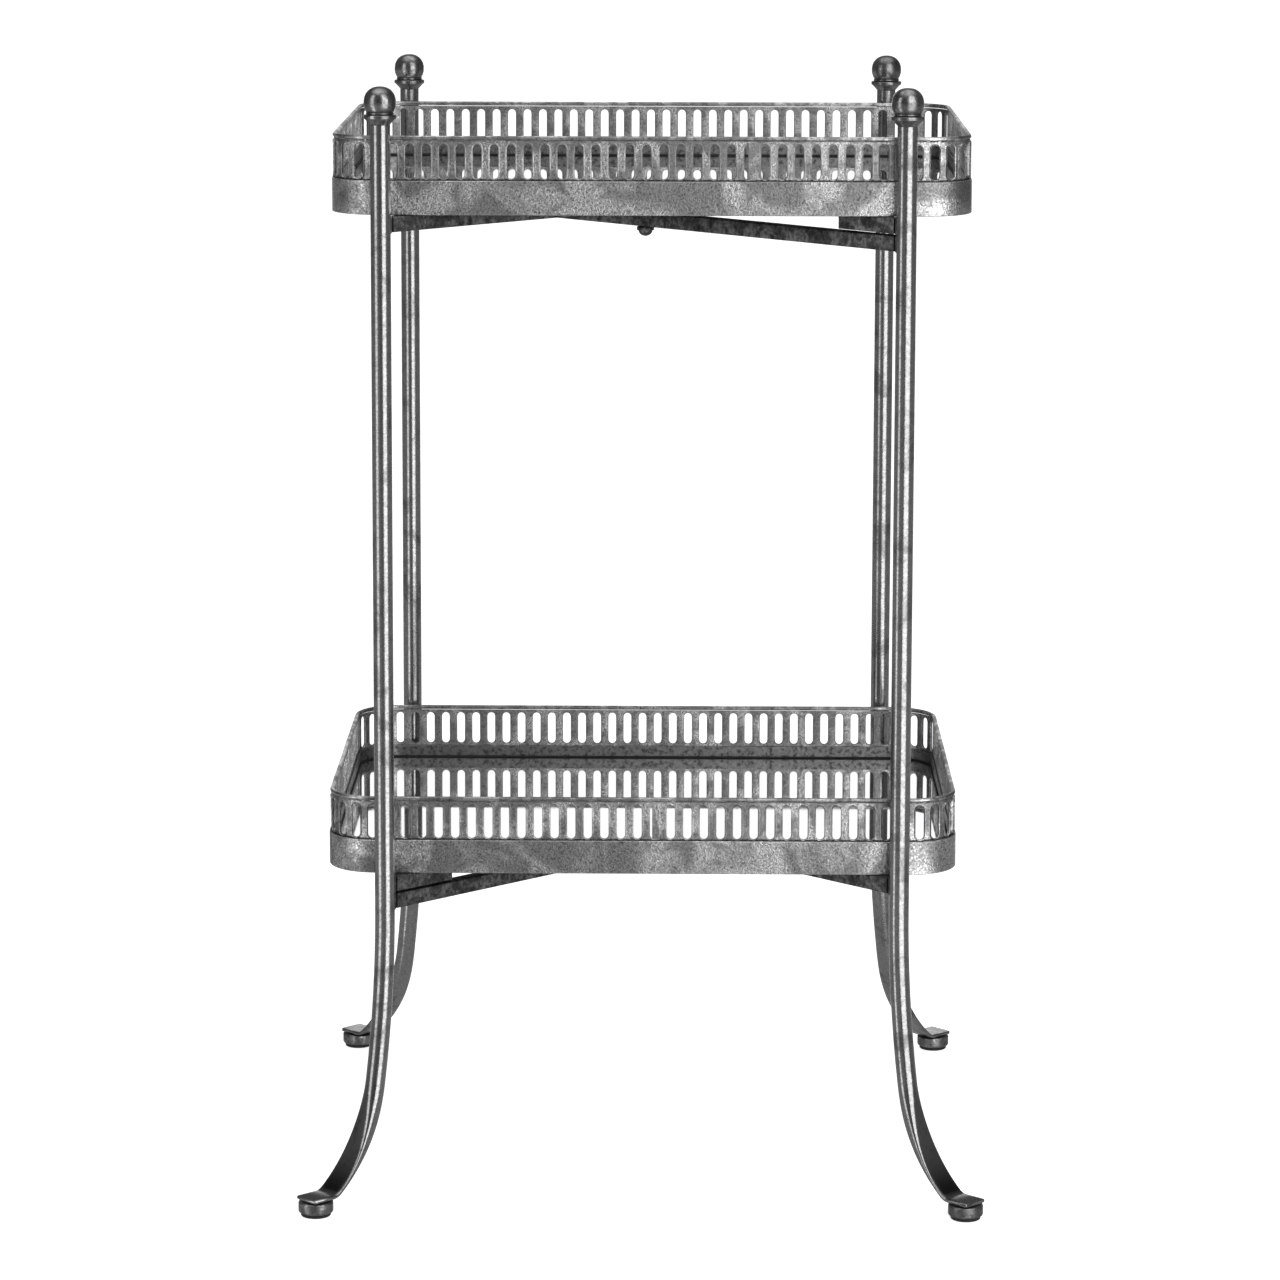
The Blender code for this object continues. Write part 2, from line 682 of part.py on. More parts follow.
# ---------------------------------------------------------------------------
# Assembly
# ---------------------------------------------------------------------------
def build_table():
    frames = {"frame_a": add_empty("frame_a")}
    frames["frame_b"] = add_empty("frame_b", frames["frame_a"])
    for frame, legs in FRAME_LEGS.items():
        body = frames[frame]
        for place, x_sign, y_sign in legs:
            add_leg(place, x_sign, y_sign, body)
            add_finial(place, x_sign, y_sign, body)
            add_collar(place, x_sign, y_sign, body)
            add_insert(place, x_sign, y_sign, body)
            add_glide(place, x_sign, y_sign, body)

    # Each tray rests on one frame's brace and on the other frame's tray rests
    levels = (
        ("upper", UPPER_TRAY_UNDERSIDE, "frame_a", "frame_b"),
        ("lower", LOWER_TRAY_UNDERSIDE, "frame_b", "frame_a"),
    )
    for level, underside, over, under in levels:
        top = underside - FIT_GAP
        add_brace(level + "_brace_" + over[-1], over, frames[over], top)
        add_brace(level + "_brace_" + under[-1], under, frames[under], top - PIVOT_STEP)
        for place, x_sign, y_sign in FRAME_LEGS[under]:
            add_tray_rest(level + "_tray_rest_" + place, x_sign, y_sign, frames[under], top)
        add_pivot(level, frames[over], top)

    shifts = {"upper": UPPER_TRAY_SHIFT, "lower": 0.0}
    for level, underside, _, _ in levels:
        spot = (shifts[level], 0, underside)
        add_tray(level + "_tray", add_empty(level + "_tray", frames["frame_a"], spot))


build_table()
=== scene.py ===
"""Two-tier folding tray table in antique silver leaf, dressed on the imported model.

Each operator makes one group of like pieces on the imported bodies, and the stage operator sets the studio.
Metres, +Z up, the front of the table faces -Y.
"""
import math

import bmesh
import bpy
from bpy.props import FloatProperty, FloatVectorProperty, IntProperty, PointerProperty
from mathutils import Matrix, Vector, noise


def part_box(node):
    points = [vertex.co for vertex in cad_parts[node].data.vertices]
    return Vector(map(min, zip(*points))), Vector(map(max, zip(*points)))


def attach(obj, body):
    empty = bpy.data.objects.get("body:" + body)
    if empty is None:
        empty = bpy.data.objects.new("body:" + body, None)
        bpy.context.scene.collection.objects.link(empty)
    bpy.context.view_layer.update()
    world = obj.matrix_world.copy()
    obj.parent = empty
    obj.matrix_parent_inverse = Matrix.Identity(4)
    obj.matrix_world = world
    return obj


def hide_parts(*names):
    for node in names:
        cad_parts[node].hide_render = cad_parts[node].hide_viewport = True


bl_info = {
    "name": "Folding Tray Table",
    "version": (1, 0, 0),
    "blender": (4, 5, 0),
    "location": "View3D > Sidebar > Tray Table",
    "description": "Dresses the folding tray table: legs, finials, feet, braces and gallery trays",
    "category": "Object",
}

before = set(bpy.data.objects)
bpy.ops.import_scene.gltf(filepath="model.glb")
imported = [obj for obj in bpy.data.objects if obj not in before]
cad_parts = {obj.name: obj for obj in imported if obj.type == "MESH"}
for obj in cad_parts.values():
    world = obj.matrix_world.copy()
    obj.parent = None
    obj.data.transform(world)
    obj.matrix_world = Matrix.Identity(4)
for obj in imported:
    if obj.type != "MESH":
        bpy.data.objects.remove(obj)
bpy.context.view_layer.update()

FRAME_LEGS = {
    "frame_a": ("front_left", "back_right"),
    "frame_b": ("front_right", "back_left"),
}
PLACES = [(place, body) for body, places in FRAME_LEGS.items() for place in places]
TRAYS = ("upper_tray", "lower_tray")
QUARTER_TURN = math.pi / 2

# Foot bends of a leg from the top down: radius and the angle from the vertical that it reaches
FOOT_BENDS = ((0.900, 9.0), (0.13214, 51.0), (0.012, 90.0))
BEND_STEPS = (8, 26, 8)
STRAIGHT_STEPS = 40
TOE_EDGE = 0.0008               # length of the rounded end of the toe
TOE_EASE_WIDE = 0.0007          # how much narrower and thinner the toe ends
TOE_EASE_THICK = 0.0006
GAP = 0.0003                    # between pieces that touch
STUD_RADIUS = 0.003             # screw that holds a finial


# ---------------------------------------------------------------------------
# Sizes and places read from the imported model
# ---------------------------------------------------------------------------
def node_centre(name):
    low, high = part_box(name)
    return (low + high) / 2


def node_height(name):
    low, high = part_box(name)
    return high.z - low.z


def leg_axis(place):
    """Foot of a leg's straight axis, on the floor."""
    centre = node_centre("finial_" + place)
    return Vector((centre.x, centre.y, 0))


def outward_turn(place):
    """Angle about Z from +X to a leg's outward direction."""
    axis = leg_axis(place)
    return math.atan2(axis.y, axis.x)


UPPER_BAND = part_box("upper_tray_band")
TRAY_LENGTH = UPPER_BAND[1].x - UPPER_BAND[0].x
TRAY_DEPTH = UPPER_BAND[1].y - UPPER_BAND[0].y
GALLERY_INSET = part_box("upper_tray_gallery")[0].x - UPPER_BAND[0].x


# ---------------------------------------------------------------------------
# Settings
# ---------------------------------------------------------------------------
def length(name, description, default):
    return FloatProperty(name=name, description=description, default=default, unit="LENGTH")


def grey(name, description, tone):
    return FloatVectorProperty(
        name=name, description=description, subtype="COLOR", default=(tone, tone, tone),
    )


class LegSettings(bpy.types.PropertyGroup):
    tube_radius: length("Tube radius", "Radius of the round tube", 0.008)
    strap_width: length("Strap width", "Width of the foot where the tube is pressed flat", 0.023)
    strap_thickness: length("Strap thickness", "Thickness of the pressed foot", 0.0034)
    toe_length: length("Toe length", "Flat end of the strap over the glide", 0.0195)
    rest_reach: length("Tray rest reach", "Leg's axis to the free end of a tray rest", 0.067)
    weld_reach: length("Weld reach", "How far a weld bead runs out along the tube and the bar", 0.0016)


class FinialSettings(bpy.types.PropertyGroup):
    neck_radius: length("Neck radius", "Radius of the waist under the ball", 0.0104)
    seat_radius: length("Seat ring radius", "Radius of the thin ring under the neck", 0.0110)
    seat_height: length("Seat ring height", "Height of the ring under the neck", 0.0016)
    flange_height: length("Flange height", "Top of the collar to the foot of its upright side", 0.0032)
    squareness: FloatProperty(
        name="Ball squareness",
        description="Power of the ball's upper outline: 2 is round, more is flatter on top",
        default=2.25,
    )
    turned_sides: IntProperty(
        name="Turned sides",
        description="Sides of a turned piece",
        default=56,
    )


class TraySettings(bpy.types.PropertyGroup):
    corner_radius: length("Corner radius", "Outside radius of the tray's corners", 0.040)
    band_thickness: length("Band thickness", "Sheet thickness of the band", 0.0015)
    gallery_thickness: length("Gallery thickness", "Sheet thickness of the pierced gallery", 0.0012)
    rim_radius: length("Rim radius", "Radius of the rolled rim", 0.0019)
    slot_width: length("Slot width", "Width of one slot", 0.0071)
    slot_above_band: length("Slot above band", "Top edge of the band to the bottom of a slot", 0.0015)
    slot_below_rim: length("Slot below rim", "Top of a slot to the top of the rim", 0.0065)
    slot_pitch: length("Slot pitch", "Wanted spacing of the slots, which closes round the tray", 0.01336)
    slot_lead: length("Slot lead", "Shift of the whole row of slots round the tray", 0.004)
    liner_thickness: length("Liner thickness", "Thickness of the plain strip inside the gallery", 0.001)
    lap_width: length("Lap width", "Width of the lapped end where the gallery strip closes", 0.006)
    lip_height: length("Lip height", "How far the pressed lip round a slot stands proud", 0.0012)
    lip_width: length("Lip width", "Width of the pressed lip", 0.0011)
    unevenness: length("Unevenness", "Depth of the hand-worked dents in band and rim", 0.00012)


class FinishSettings(bpy.types.PropertyGroup):
    silver_light: grey("Silver, light", "Leaf where it is bright", 0.80)
    silver_dark: grey("Silver, dark", "Leaf where it is toned down", 0.17)
    tube_light: grey("Tube, light", "Polished tube", 0.42)
    bar_tone: grey("Bar", "Dark mottled bars", 0.34)
    patina: FloatProperty(
        name="Patina",
        description="Share of the surface under dark patina",
        subtype="FACTOR",
        min=0.0,
        max=1.0,
        default=0.42,
    )
    rubber: grey("Rubber", "Pads under the feet", 0.012)
    board: grey("Board", "Painted underside of the trays", 0.02)


class StageSettings(bpy.types.PropertyGroup):
    floor_size: length("Floor size", "Side of the square studio floor", 80.0)
    floor_colour: grey("Floor", "Pale studio floor", 0.92)
    side_light: FloatProperty(
        name="Side light",
        description="Radiance of the right soft box",
        default=2.2,
    )
    room_light: FloatProperty(
        name="Room light",
        description="Brightness of the unlit part of the studio",
        default=0.16,
    )


# ---------------------------------------------------------------------------
# Mesh helpers
# ---------------------------------------------------------------------------
def finished_mesh(name, bm, sharp=40.0):
    mesh = bpy.data.meshes.new(name)
    bm.normal_update()
    bm.to_mesh(mesh)
    bm.free()
    mesh.shade_smooth()
    mesh.set_sharp_from_angle(angle=math.radians(sharp))
    return mesh


def place_piece(name, mesh, finish, body, slot, *stands_for):
    """Link a piece, give it its finish, tie it to its body and hide the nodes it stands for; its slot is
    not used.
    """
    piece = bpy.data.objects.new(name, mesh)
    bpy.context.scene.collection.objects.link(piece)
    mesh.materials.append(finish)
    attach(piece, body)
    if stands_for:
        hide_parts(*stands_for)
    return piece


def dress_node(name, finish):
    """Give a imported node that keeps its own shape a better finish."""
    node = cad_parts[name]
    if not node.material_slots:
        node.data.materials.append(finish)
    for slot in node.material_slots:
        slot.material = finish


def grid(bm, rows, closed_rows=False, closed_columns=True):
    """Quads between rows of vertices; each row is a list of the same length."""
    pairs = list(zip(rows, rows[1:]))
    if closed_rows:
        pairs.append((rows[-1], rows[0]))
    for here, there in pairs:
        count = len(here)
        last = count if closed_columns else count - 1
        for index in range(last):
            after = (index + 1) % count
            bm.faces.new((here[index], there[index], there[after], here[after]))


def lofted_mesh(name, bm, rows, sharp=40.0, ring=False):
    """Finish a mesh from rows of vertices, joined up as a ring or capped at both ends."""
    grid(bm, rows, closed_rows=ring)
    if not ring:
        bm.faces.new(rows[0])
        bm.faces.new(rows[-1])
    bmesh.ops.recalc_face_normals(bm, faces=bm.faces)
    return finished_mesh(name, bm, sharp)


def circle_row(bm, spot, radius, height, sides):
    """Vertices round a circle at one height."""
    row = []
    for side in range(sides):
        turn = 2 * math.pi * side / sides
        reach = Vector((math.cos(turn), math.sin(turn), 0)) * radius
        row.append(bm.verts.new(spot + reach + Vector((0, 0, height))))
    return row


def turned_mesh(name, profile, spot, sides):
    """Solid of revolution from (radius, height) points, top to bottom, closed at the axis."""
    bm = bmesh.new()
    rows = []
    tips = []
    for radius, height in profile:
        if radius == 0:
            tips.append((len(rows), bm.verts.new(spot + Vector((0, 0, height)))))
            continue
        rows.append(circle_row(bm, spot, radius, height, sides))
    grid(bm, rows)
    for index, tip in tips:
        row = rows[0] if index == 0 else rows[-1]
        for side in range(sides):
            bm.faces.new((tip, row[side], row[(side + 1) % sides]))
    bmesh.ops.recalc_face_normals(bm, faces=bm.faces)
    return finished_mesh(name, bm)


def arc(centre_radius, centre_height, radius, start, end, steps):
    """(radius, height) points round part of a circle, angles in degrees from straight out, up positive."""
    points = []
    for step in range(steps + 1):
        turn = math.radians(start + (end - start) * step / steps)
        points.append((
            centre_radius + radius * math.cos(turn),
            centre_height + radius * math.sin(turn),
        ))
    return points


class TrayEdge:
    """Walk round a tray's rounded rectangle at one inset, counter-clockwise from the front left."""

    def __init__(self, tray, inset, corner_radius):
        low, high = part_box(tray + "_band")
        self.centre = (low + high) / 2
        self.radius = corner_radius - inset
        self.long_side = TRAY_LENGTH - 2 * corner_radius
        self.short_side = TRAY_DEPTH - 2 * corner_radius
        self.front = low.y + inset
        self.quarter = QUARTER_TURN * self.radius
        self.length = 2 * (self.long_side + self.short_side) + 4 * self.quarter

    def at(self, along):
        """(spot, outward) at a distance along the edge."""
        along = along % self.length
        heading = 0.0
        start = Vector((self.centre.x - self.long_side / 2, self.front, 0))
        for side in (self.long_side, self.short_side, self.long_side, self.short_side):
            ahead = Vector((math.cos(heading), math.sin(heading), 0))
            outward = Vector((ahead.y, -ahead.x, 0))
            if along <= side:
                return start + ahead * along, outward
            along -= side
            start = start + ahead * side
            pivot = start - outward * self.radius
            if along <= self.quarter:
                swing = Matrix.Rotation(along / self.radius, 3, "Z")
                return pivot + swing @ (outward * self.radius), swing @ outward
            along -= self.quarter
            heading += QUARTER_TURN
            start = pivot + ahead * self.radius
        return start, outward

    def stations(self, spacing, corner_steps):
        """Distances along the edge, even on the straights and finer round the corners."""
        found = []
        start = 0.0
        for side in (self.long_side, self.short_side, self.long_side, self.short_side):
            steps = max(1, round(side / spacing))
            found += [start + side * step / steps for step in range(steps)]
            start += side
            found += [start + self.quarter * step / corner_steps for step in range(corner_steps)]
            start += self.quarter
        return found


def dents(spot, depth):
    """Small hand-worked unevenness at a place on the tray."""
    broad = noise.noise(spot * 22.0)
    fine = noise.noise(spot * 130.0)
    return depth * (broad + 0.45 * fine)


# ---------------------------------------------------------------------------
# Shader helpers and shared node groups
# ---------------------------------------------------------------------------
def put(tree, kind, inputs=(), **settings):
    """Add a node: settings are its own properties, inputs are (socket, value or output) pairs."""
    made = tree.nodes.new(kind)
    for name, value in settings.items():
        setattr(made, name, value)
    for socket, value in inputs:
        if isinstance(value, bpy.types.NodeSocket):
            tree.links.new(value, made.inputs[socket])
        else:
            made.inputs[socket].default_value = value
    return made


def maths(tree, operation, first, second=0.0, clamp=False):
    pairs = ((0, first), (1, second))
    return put(tree, "ShaderNodeMath", pairs, operation=operation, use_clamp=clamp).outputs[0]


def stretch(tree, value, low, high, to_low=0.0, to_high=1.0):
    """Smooth remap of a value from one range to another, held at the ends."""
    pairs = ((0, value), (1, low), (2, high), (3, to_low), (4, to_high))
    made = put(tree, "ShaderNodeMapRange", pairs, interpolation_type="SMOOTHSTEP")
    return made.outputs[0]


def mix_colour(tree, share, first, second):
    made = put(tree, "ShaderNodeMix", data_type="RGBA")
    for socket, value in ((0, share), (6, first), (7, second)):
        if isinstance(value, bpy.types.NodeSocket):
            tree.links.new(value, made.inputs[socket])
        else:
            made.inputs[socket].default_value = value
    return made.outputs[2]


def new_group(name, inputs, outputs):
    """Shader node group with named float inputs (name, default) and float outputs."""
    group = bpy.data.node_groups.new(name, "ShaderNodeTree")
    for label, default in inputs:
        socket = group.interface.new_socket(label, in_out="INPUT", socket_type="NodeSocketFloat")
        socket.default_value = default
    for label in outputs:
        group.interface.new_socket(label, in_out="OUTPUT", socket_type="NodeSocketFloat")
    return group, group.nodes.new("NodeGroupInput"), group.nodes.new("NodeGroupOutput")


def leaf_grain_group():
    """Fine mottled grain of burnished metal leaf over a cast ground."""
    group, given, result = new_group("leaf_grain", (("Scale", 400.0), ("Contrast", 1.0)), ("Grain",))
    where = put(group, "ShaderNodeTexCoord").outputs["Object"]
    grains = put(group, "ShaderNodeTexNoise", (
        ("Vector", where), ("Scale", given.outputs["Scale"]), ("Detail", 3.0), ("Roughness", 0.65),
    ))
    crumbs = put(group, "ShaderNodeTexVoronoi", (
        ("Vector", where), ("Scale", maths(group, "MULTIPLY", given.outputs["Scale"], 1.7)),
    ), feature="F1")
    pits = stretch(group, crumbs.outputs["Distance"], 0.15, 0.75)
    even = maths(group, "SUBTRACT", grains.outputs["Fac"], 0.5)
    spread = maths(group, "MULTIPLY", even, maths(group, "MULTIPLY", given.outputs["Contrast"], 2.6))
    dotted = maths(group, "MULTIPLY", maths(group, "SUBTRACT", pits, 0.5), 0.22)
    grain = maths(group, "ADD", maths(group, "ADD", spread, 0.5), dotted, clamp=True)
    group.links.new(grain, result.inputs["Grain"])
    return group


def patina_group():
    """Cloudy dark patina left in the leaf."""
    group, given, result = new_group("patina", (("Scale", 28.0), ("Coverage", 0.4)), ("Mask",))
    where = put(group, "ShaderNodeTexCoord").outputs["Object"]
    cloud = put(group, "ShaderNodeTexNoise", (
        ("Vector", where), ("Scale", given.outputs["Scale"]), ("Detail", 6.0),
        ("Roughness", 0.62), ("Distortion", 0.7),
    ))
    edge = maths(group, "SUBTRACT", 0.86, maths(group, "MULTIPLY", given.outputs["Coverage"], 0.7))
    low = maths(group, "SUBTRACT", edge, 0.16)
    mask = stretch(group, cloud.outputs["Fac"], low, edge)
    group.links.new(mask, result.inputs["Mask"])
    return group


def worn_and_highlight_edge_group():
    """Mask of edges rubbed bright by wear and lightened as a painted highlight: where a rounded normal
    leaves the surface's own.
    """
    group, given, result = new_group("worn_and_highlight_edge", (("Width", 0.0008),), ("Mask",))
    rounded = put(group, "ShaderNodeBevel", (("Radius", given.outputs["Width"]),), samples=6)
    own = put(group, "ShaderNodeNewGeometry").outputs["Normal"]
    pairs = ((0, rounded.outputs["Normal"]), (1, own))
    agree = put(group, "ShaderNodeVectorMath", pairs, operation="DOT_PRODUCT").outputs["Value"]
    mask = stretch(group, maths(group, "SUBTRACT", 1.0, agree), 0.02, 0.22)
    group.links.new(mask, result.inputs["Mask"])
    return group


def recess_group():
    """Mask of corners and seams from ambient occlusion: dark glaze left in the recesses, and painted shade
    where the light is blocked.
    """
    group, given, result = new_group("recess", (("Reach", 0.003),), ("Mask",))
    open_sky = put(group, "ShaderNodeAmbientOcclusion", (("Distance", given.outputs["Reach"]),), samples=8)
    mask = stretch(group, open_sky.outputs["AO"], 0.25, 0.85, 1.0, 0.0)
    group.links.new(mask, result.inputs["Mask"])
    return group


def specks_group():
    """Small dark pits that broke through the leaf."""
    group, given, result = new_group("specks", (("Scale", 300.0),), ("Mask",))
    where = put(group, "ShaderNodeTexCoord").outputs["Object"]
    pits = put(group, "ShaderNodeTexNoise", (
        ("Vector", where), ("Scale", given.outputs["Scale"]), ("Detail", 2.0), ("Roughness", 0.7),
    ))
    group.links.new(stretch(group, pits.outputs["Fac"], 0.54, 0.64), result.inputs["Mask"])
    return group


GROUPS = {}


def shared_group(name):
    makers = {
        "leaf_grain": leaf_grain_group,
        "patina": patina_group,
        "worn_and_highlight_edge": worn_and_highlight_edge_group,
        "recess": recess_group,
        "specks": specks_group,
    }
    if name not in GROUPS:
        GROUPS[name] = makers[name]()
    return GROUPS[name]


def effect(tree, name, output, **values):
    """Place a shared group in a material and give back one of its outputs."""
    made = tree.nodes.new("ShaderNodeGroup")
    made.node_tree = shared_group(name)
    for label, value in values.items():
        made.inputs[label].default_value = value
    return made.outputs[output]


def rgba(colour, share=1.0):
    return (colour[0] * share, colour[1] * share, colour[2] * share, 1.0)


def new_finish(name):
    finish = bpy.data.materials.new(name)
    finish.use_nodes = True
    tree = finish.node_tree
    return finish, tree, tree.nodes["Principled BSDF"]


def silver_finish(
    name, light, dark, rough=0.3, grain_scale=300.0, grain=0.5, contrast=1.5, patina_scale=26.0,
    coverage=0.4, speck_scale=260.0, specks=0.5, recess=0.003, glaze_and_shade_left=0.8, bright_edge_width=0.0008,
    rubbed_and_lit=0.6, relief=0.00006, shades_strap=False,
):
    """Antique silver: leaf grain, patina, dark pits, glaze with painted shade in the recesses, edges rubbed
    bright with a painted highlight, and painted shade on a pressed strap.
    """
    finish, tree, shader = new_finish(name)
    grains = effect(tree, "leaf_grain", "Grain", Scale=grain_scale, Contrast=contrast)
    cloud = effect(tree, "patina", "Mask", Scale=patina_scale, Coverage=coverage)
    pits = effect(tree, "specks", "Mask", Scale=speck_scale)
    recess_glaze_and_shade = effect(tree, "recess", "Mask", Reach=recess)
    edges = effect(tree, "worn_and_highlight_edge", "Mask", Width=bright_edge_width)

    tone = mix_colour(tree, maths(tree, "MULTIPLY", cloud, 0.75), rgba(light), rgba(dark))
    tone = mix_colour(tree, maths(tree, "MULTIPLY", grains, grain), tone, rgba(dark, 0.8))
    tone = mix_colour(tree, maths(tree, "MULTIPLY", pits, specks), tone, rgba(dark, 0.3))
    # wear and painted highlight: edges lightened past the leaf's light tone
    tone = mix_colour(tree, maths(tree, "MULTIPLY", edges, rubbed_and_lit), tone, rgba(light, 1.25))
    # glaze and painted shade: darkens the recesses that ambient occlusion finds
    tone = mix_colour(tree, maths(tree, "MULTIPLY", recess_glaze_and_shade, glaze_and_shade_left), tone, rgba(dark, 0.25))
    # painted shade on the strap's outer face, from the vertex layer that the leg mesh stores
    if shades_strap:
        strap_shade = put(tree, "ShaderNodeAttribute", attribute_name="strap_shade").outputs["Fac"]
        tone = mix_colour(tree, strap_shade, tone, rgba(dark, 0.22))
    tree.links.new(tone, shader.inputs["Base Color"])

    dull = maths(tree, "ADD", maths(tree, "MULTIPLY", grains, 0.12), rough - 0.06)
    duller = maths(tree, "ADD", dull, maths(tree, "MULTIPLY", cloud, 0.10))
    dullest = maths(tree, "ADD", duller, maths(tree, "MULTIPLY", recess_glaze_and_shade, 0.2))
    tree.links.new(dullest, shader.inputs["Roughness"])
    shader.inputs["Metallic"].default_value = 1.0
    bump = put(tree, "ShaderNodeBump", (("Distance", relief), ("Strength", 0.8), ("Height", grains)))
    tree.links.new(bump.outputs["Normal"], shader.inputs["Normal"])
    return finish


def dull_finish(name, tone, rough, grain_scale, relief, metallic=0.0):
    """Unpolished stuff: rubber, paint or raw metal with a fine grain and a little dust."""
    finish, tree, shader = new_finish(name)
    grains = effect(tree, "leaf_grain", "Grain", Scale=grain_scale, Contrast=1.0)
    cloud = effect(tree, "patina", "Mask", Scale=40.0, Coverage=0.3)
    colour = mix_colour(tree, grains, rgba(tone, 0.7), rgba(tone, 1.4))
    colour = mix_colour(tree, maths(tree, "MULTIPLY", cloud, 0.3), colour, rgba(tone, 2.2))
    tree.links.new(colour, shader.inputs["Base Color"])
    tree.links.new(
        maths(tree, "ADD", maths(tree, "MULTIPLY", grains, 0.15), rough - 0.07),
        shader.inputs["Roughness"],
    )
    shader.inputs["Metallic"].default_value = metallic
    bump = put(tree, "ShaderNodeBump", (("Distance", relief), ("Strength", 0.7), ("Height", grains)))
    tree.links.new(bump.outputs["Normal"], shader.inputs["Normal"])
    return finish


GLASS = (0.95, 0.95, 0.95)
AGE_SPOT = (0.30, 0.30, 0.30)
STEEL = (0.40, 0.40, 0.40)
GLAZE = (0.05, 0.05, 0.05)


def mirror_finish(look):
    """Silvered glass, clean but for a faint haze and a few age specks."""
    finish, tree, shader = new_finish("mirror_glass")
    where = put(tree, "ShaderNodeTexCoord").outputs["Object"]
    specks = put(tree, "ShaderNodeTexVoronoi", (("Vector", where), ("Scale", 55.0)))
    spots = stretch(tree, specks.outputs["Distance"], 0.02, 0.07, 1.0, 0.0)
    haze = effect(tree, "patina", "Mask", Scale=9.0, Coverage=0.35)
    tone = mix_colour(tree, maths(tree, "MULTIPLY", spots, 0.25), rgba(GLASS), rgba(AGE_SPOT))
    tree.links.new(tone, shader.inputs["Base Color"])
    soft = maths(tree, "ADD", maths(tree, "MULTIPLY", haze, 0.03), 0.02)
    tree.links.new(soft, shader.inputs["Roughness"])
    shader.inputs["Metallic"].default_value = 1.0
    return finish


def tube_finish(look):
    return silver_finish(
        "silver_tube", look.tube_light, look.silver_dark, rough=0.19, grain_scale=420.0, grain=0.28,
        patina_scale=34.0, coverage=look.patina * 0.7, specks=0.16, recess=0.004, relief=0.00002,
        shades_strap=True,
    )


def turned_finish(look):
    return silver_finish(
        "silver_turned", look.tube_light, look.silver_dark, rough=0.20, grain_scale=500.0, grain=0.4,
        patina_scale=60.0, coverage=look.patina, specks=0.4, recess=0.0018, bright_edge_width=0.0005, relief=0.00002,
    )


def band_finish(look):
    return silver_finish(
        "silver_leaf_band", look.silver_light, look.silver_dark, rough=0.28, grain_scale=620.0,
        grain=0.50, contrast=2.4, patina_scale=17.0, coverage=look.patina, speck_scale=560.0,
        specks=0.60, bright_edge_width=0.0010, rubbed_and_lit=0.9, relief=0.00012,
    )


def gallery_finish(look):
    return silver_finish(
        "silver_leaf_gallery", look.silver_light, look.silver_dark, rough=0.28, grain_scale=620.0,
        grain=0.5, contrast=2.2, patina_scale=40.0, coverage=look.patina, speck_scale=560.0,
        specks=0.5, recess=0.0012, relief=0.00010,
        glaze_and_shade_left=0.55, bright_edge_width=0.0006, rubbed_and_lit=0.9,
    )


def rim_finish(look):
    return silver_finish(
        "silver_leaf_rim", look.silver_light, look.silver_dark, rough=0.30, grain_scale=320.0,
        grain=0.45, patina_scale=45.0, coverage=look.patina, recess=0.0012, glaze_and_shade_left=0.5,
    )


def liner_finish(look):
    return silver_finish(
        "silver_leaf_liner", look.silver_light, look.silver_dark, rough=0.30, grain_scale=260.0,
        grain=0.8, contrast=1.6, patina_scale=60.0, coverage=0.75, specks=0.6, recess=0.006,
    )


def seam_finish(look):
    return silver_finish(
        "dark_seam_bead", look.bar_tone, GLAZE, rough=0.35, grain_scale=600.0, grain=0.9,
        contrast=2.2, patina_scale=220.0, coverage=0.85, speck_scale=500.0, specks=0.8,
        recess=0.001, bright_edge_width=0.0003, relief=0.0002,
    )


def bar_finish(look):
    return silver_finish(
        "dark_bar", look.bar_tone, GLAZE, rough=0.42, grain_scale=260.0, grain=0.6, contrast=2.0,
        patina_scale=70.0, coverage=0.4, speck_scale=220.0, specks=0.5, relief=0.00012,
    )


def fixing_finish(look):
    return silver_finish(
        "dark_fixings", look.bar_tone, GLAZE, rough=0.30, grain_scale=500.0, coverage=0.5,
    )


def glide_finish(look):
    return silver_finish(
        "satin_nickel", look.tube_light, look.silver_dark, rough=0.30, grain_scale=420.0, grain=0.5,
        patina_scale=90.0, coverage=0.45, specks=0.45, recess=0.003,
    )


def steel_finish(look):
    return dull_finish("plain_steel", STEEL, 0.45, 500.0, 0.00005, metallic=1.0)


def rubber_finish(look):
    return dull_finish("black_rubber", look.rubber, 0.75, 700.0, 0.0001)


def board_finish(look):
    return dull_finish("black_board", look.board, 0.62, 260.0, 0.0001)


def putty_finish(look):
    return dull_finish("black_putty", look.rubber, 0.60, 900.0, 0.00008)


FINISH_MAKERS = {
    "leg": tube_finish,
    "finial": turned_finish,
    "band": band_finish,
    "gallery": gallery_finish,
    "rim": rim_finish,
    "seam": seam_finish,
    "liner": liner_finish,
    "brace": bar_finish,
    "pivot": fixing_finish,
    "glide": glide_finish,
    "insert": steel_finish,
    "pad": rubber_finish,
    "board": board_finish,
    "putty": putty_finish,
    "mirror": mirror_finish,
}
FINISHES = {}


def finish_for(kind):
    """The finish of one kind of piece, made the first time it is asked for."""
    if kind not in FINISHES:
        FINISHES[kind] = FINISH_MAKERS[kind](bpy.context.scene.tray_table_finish)
    return FINISHES[kind]


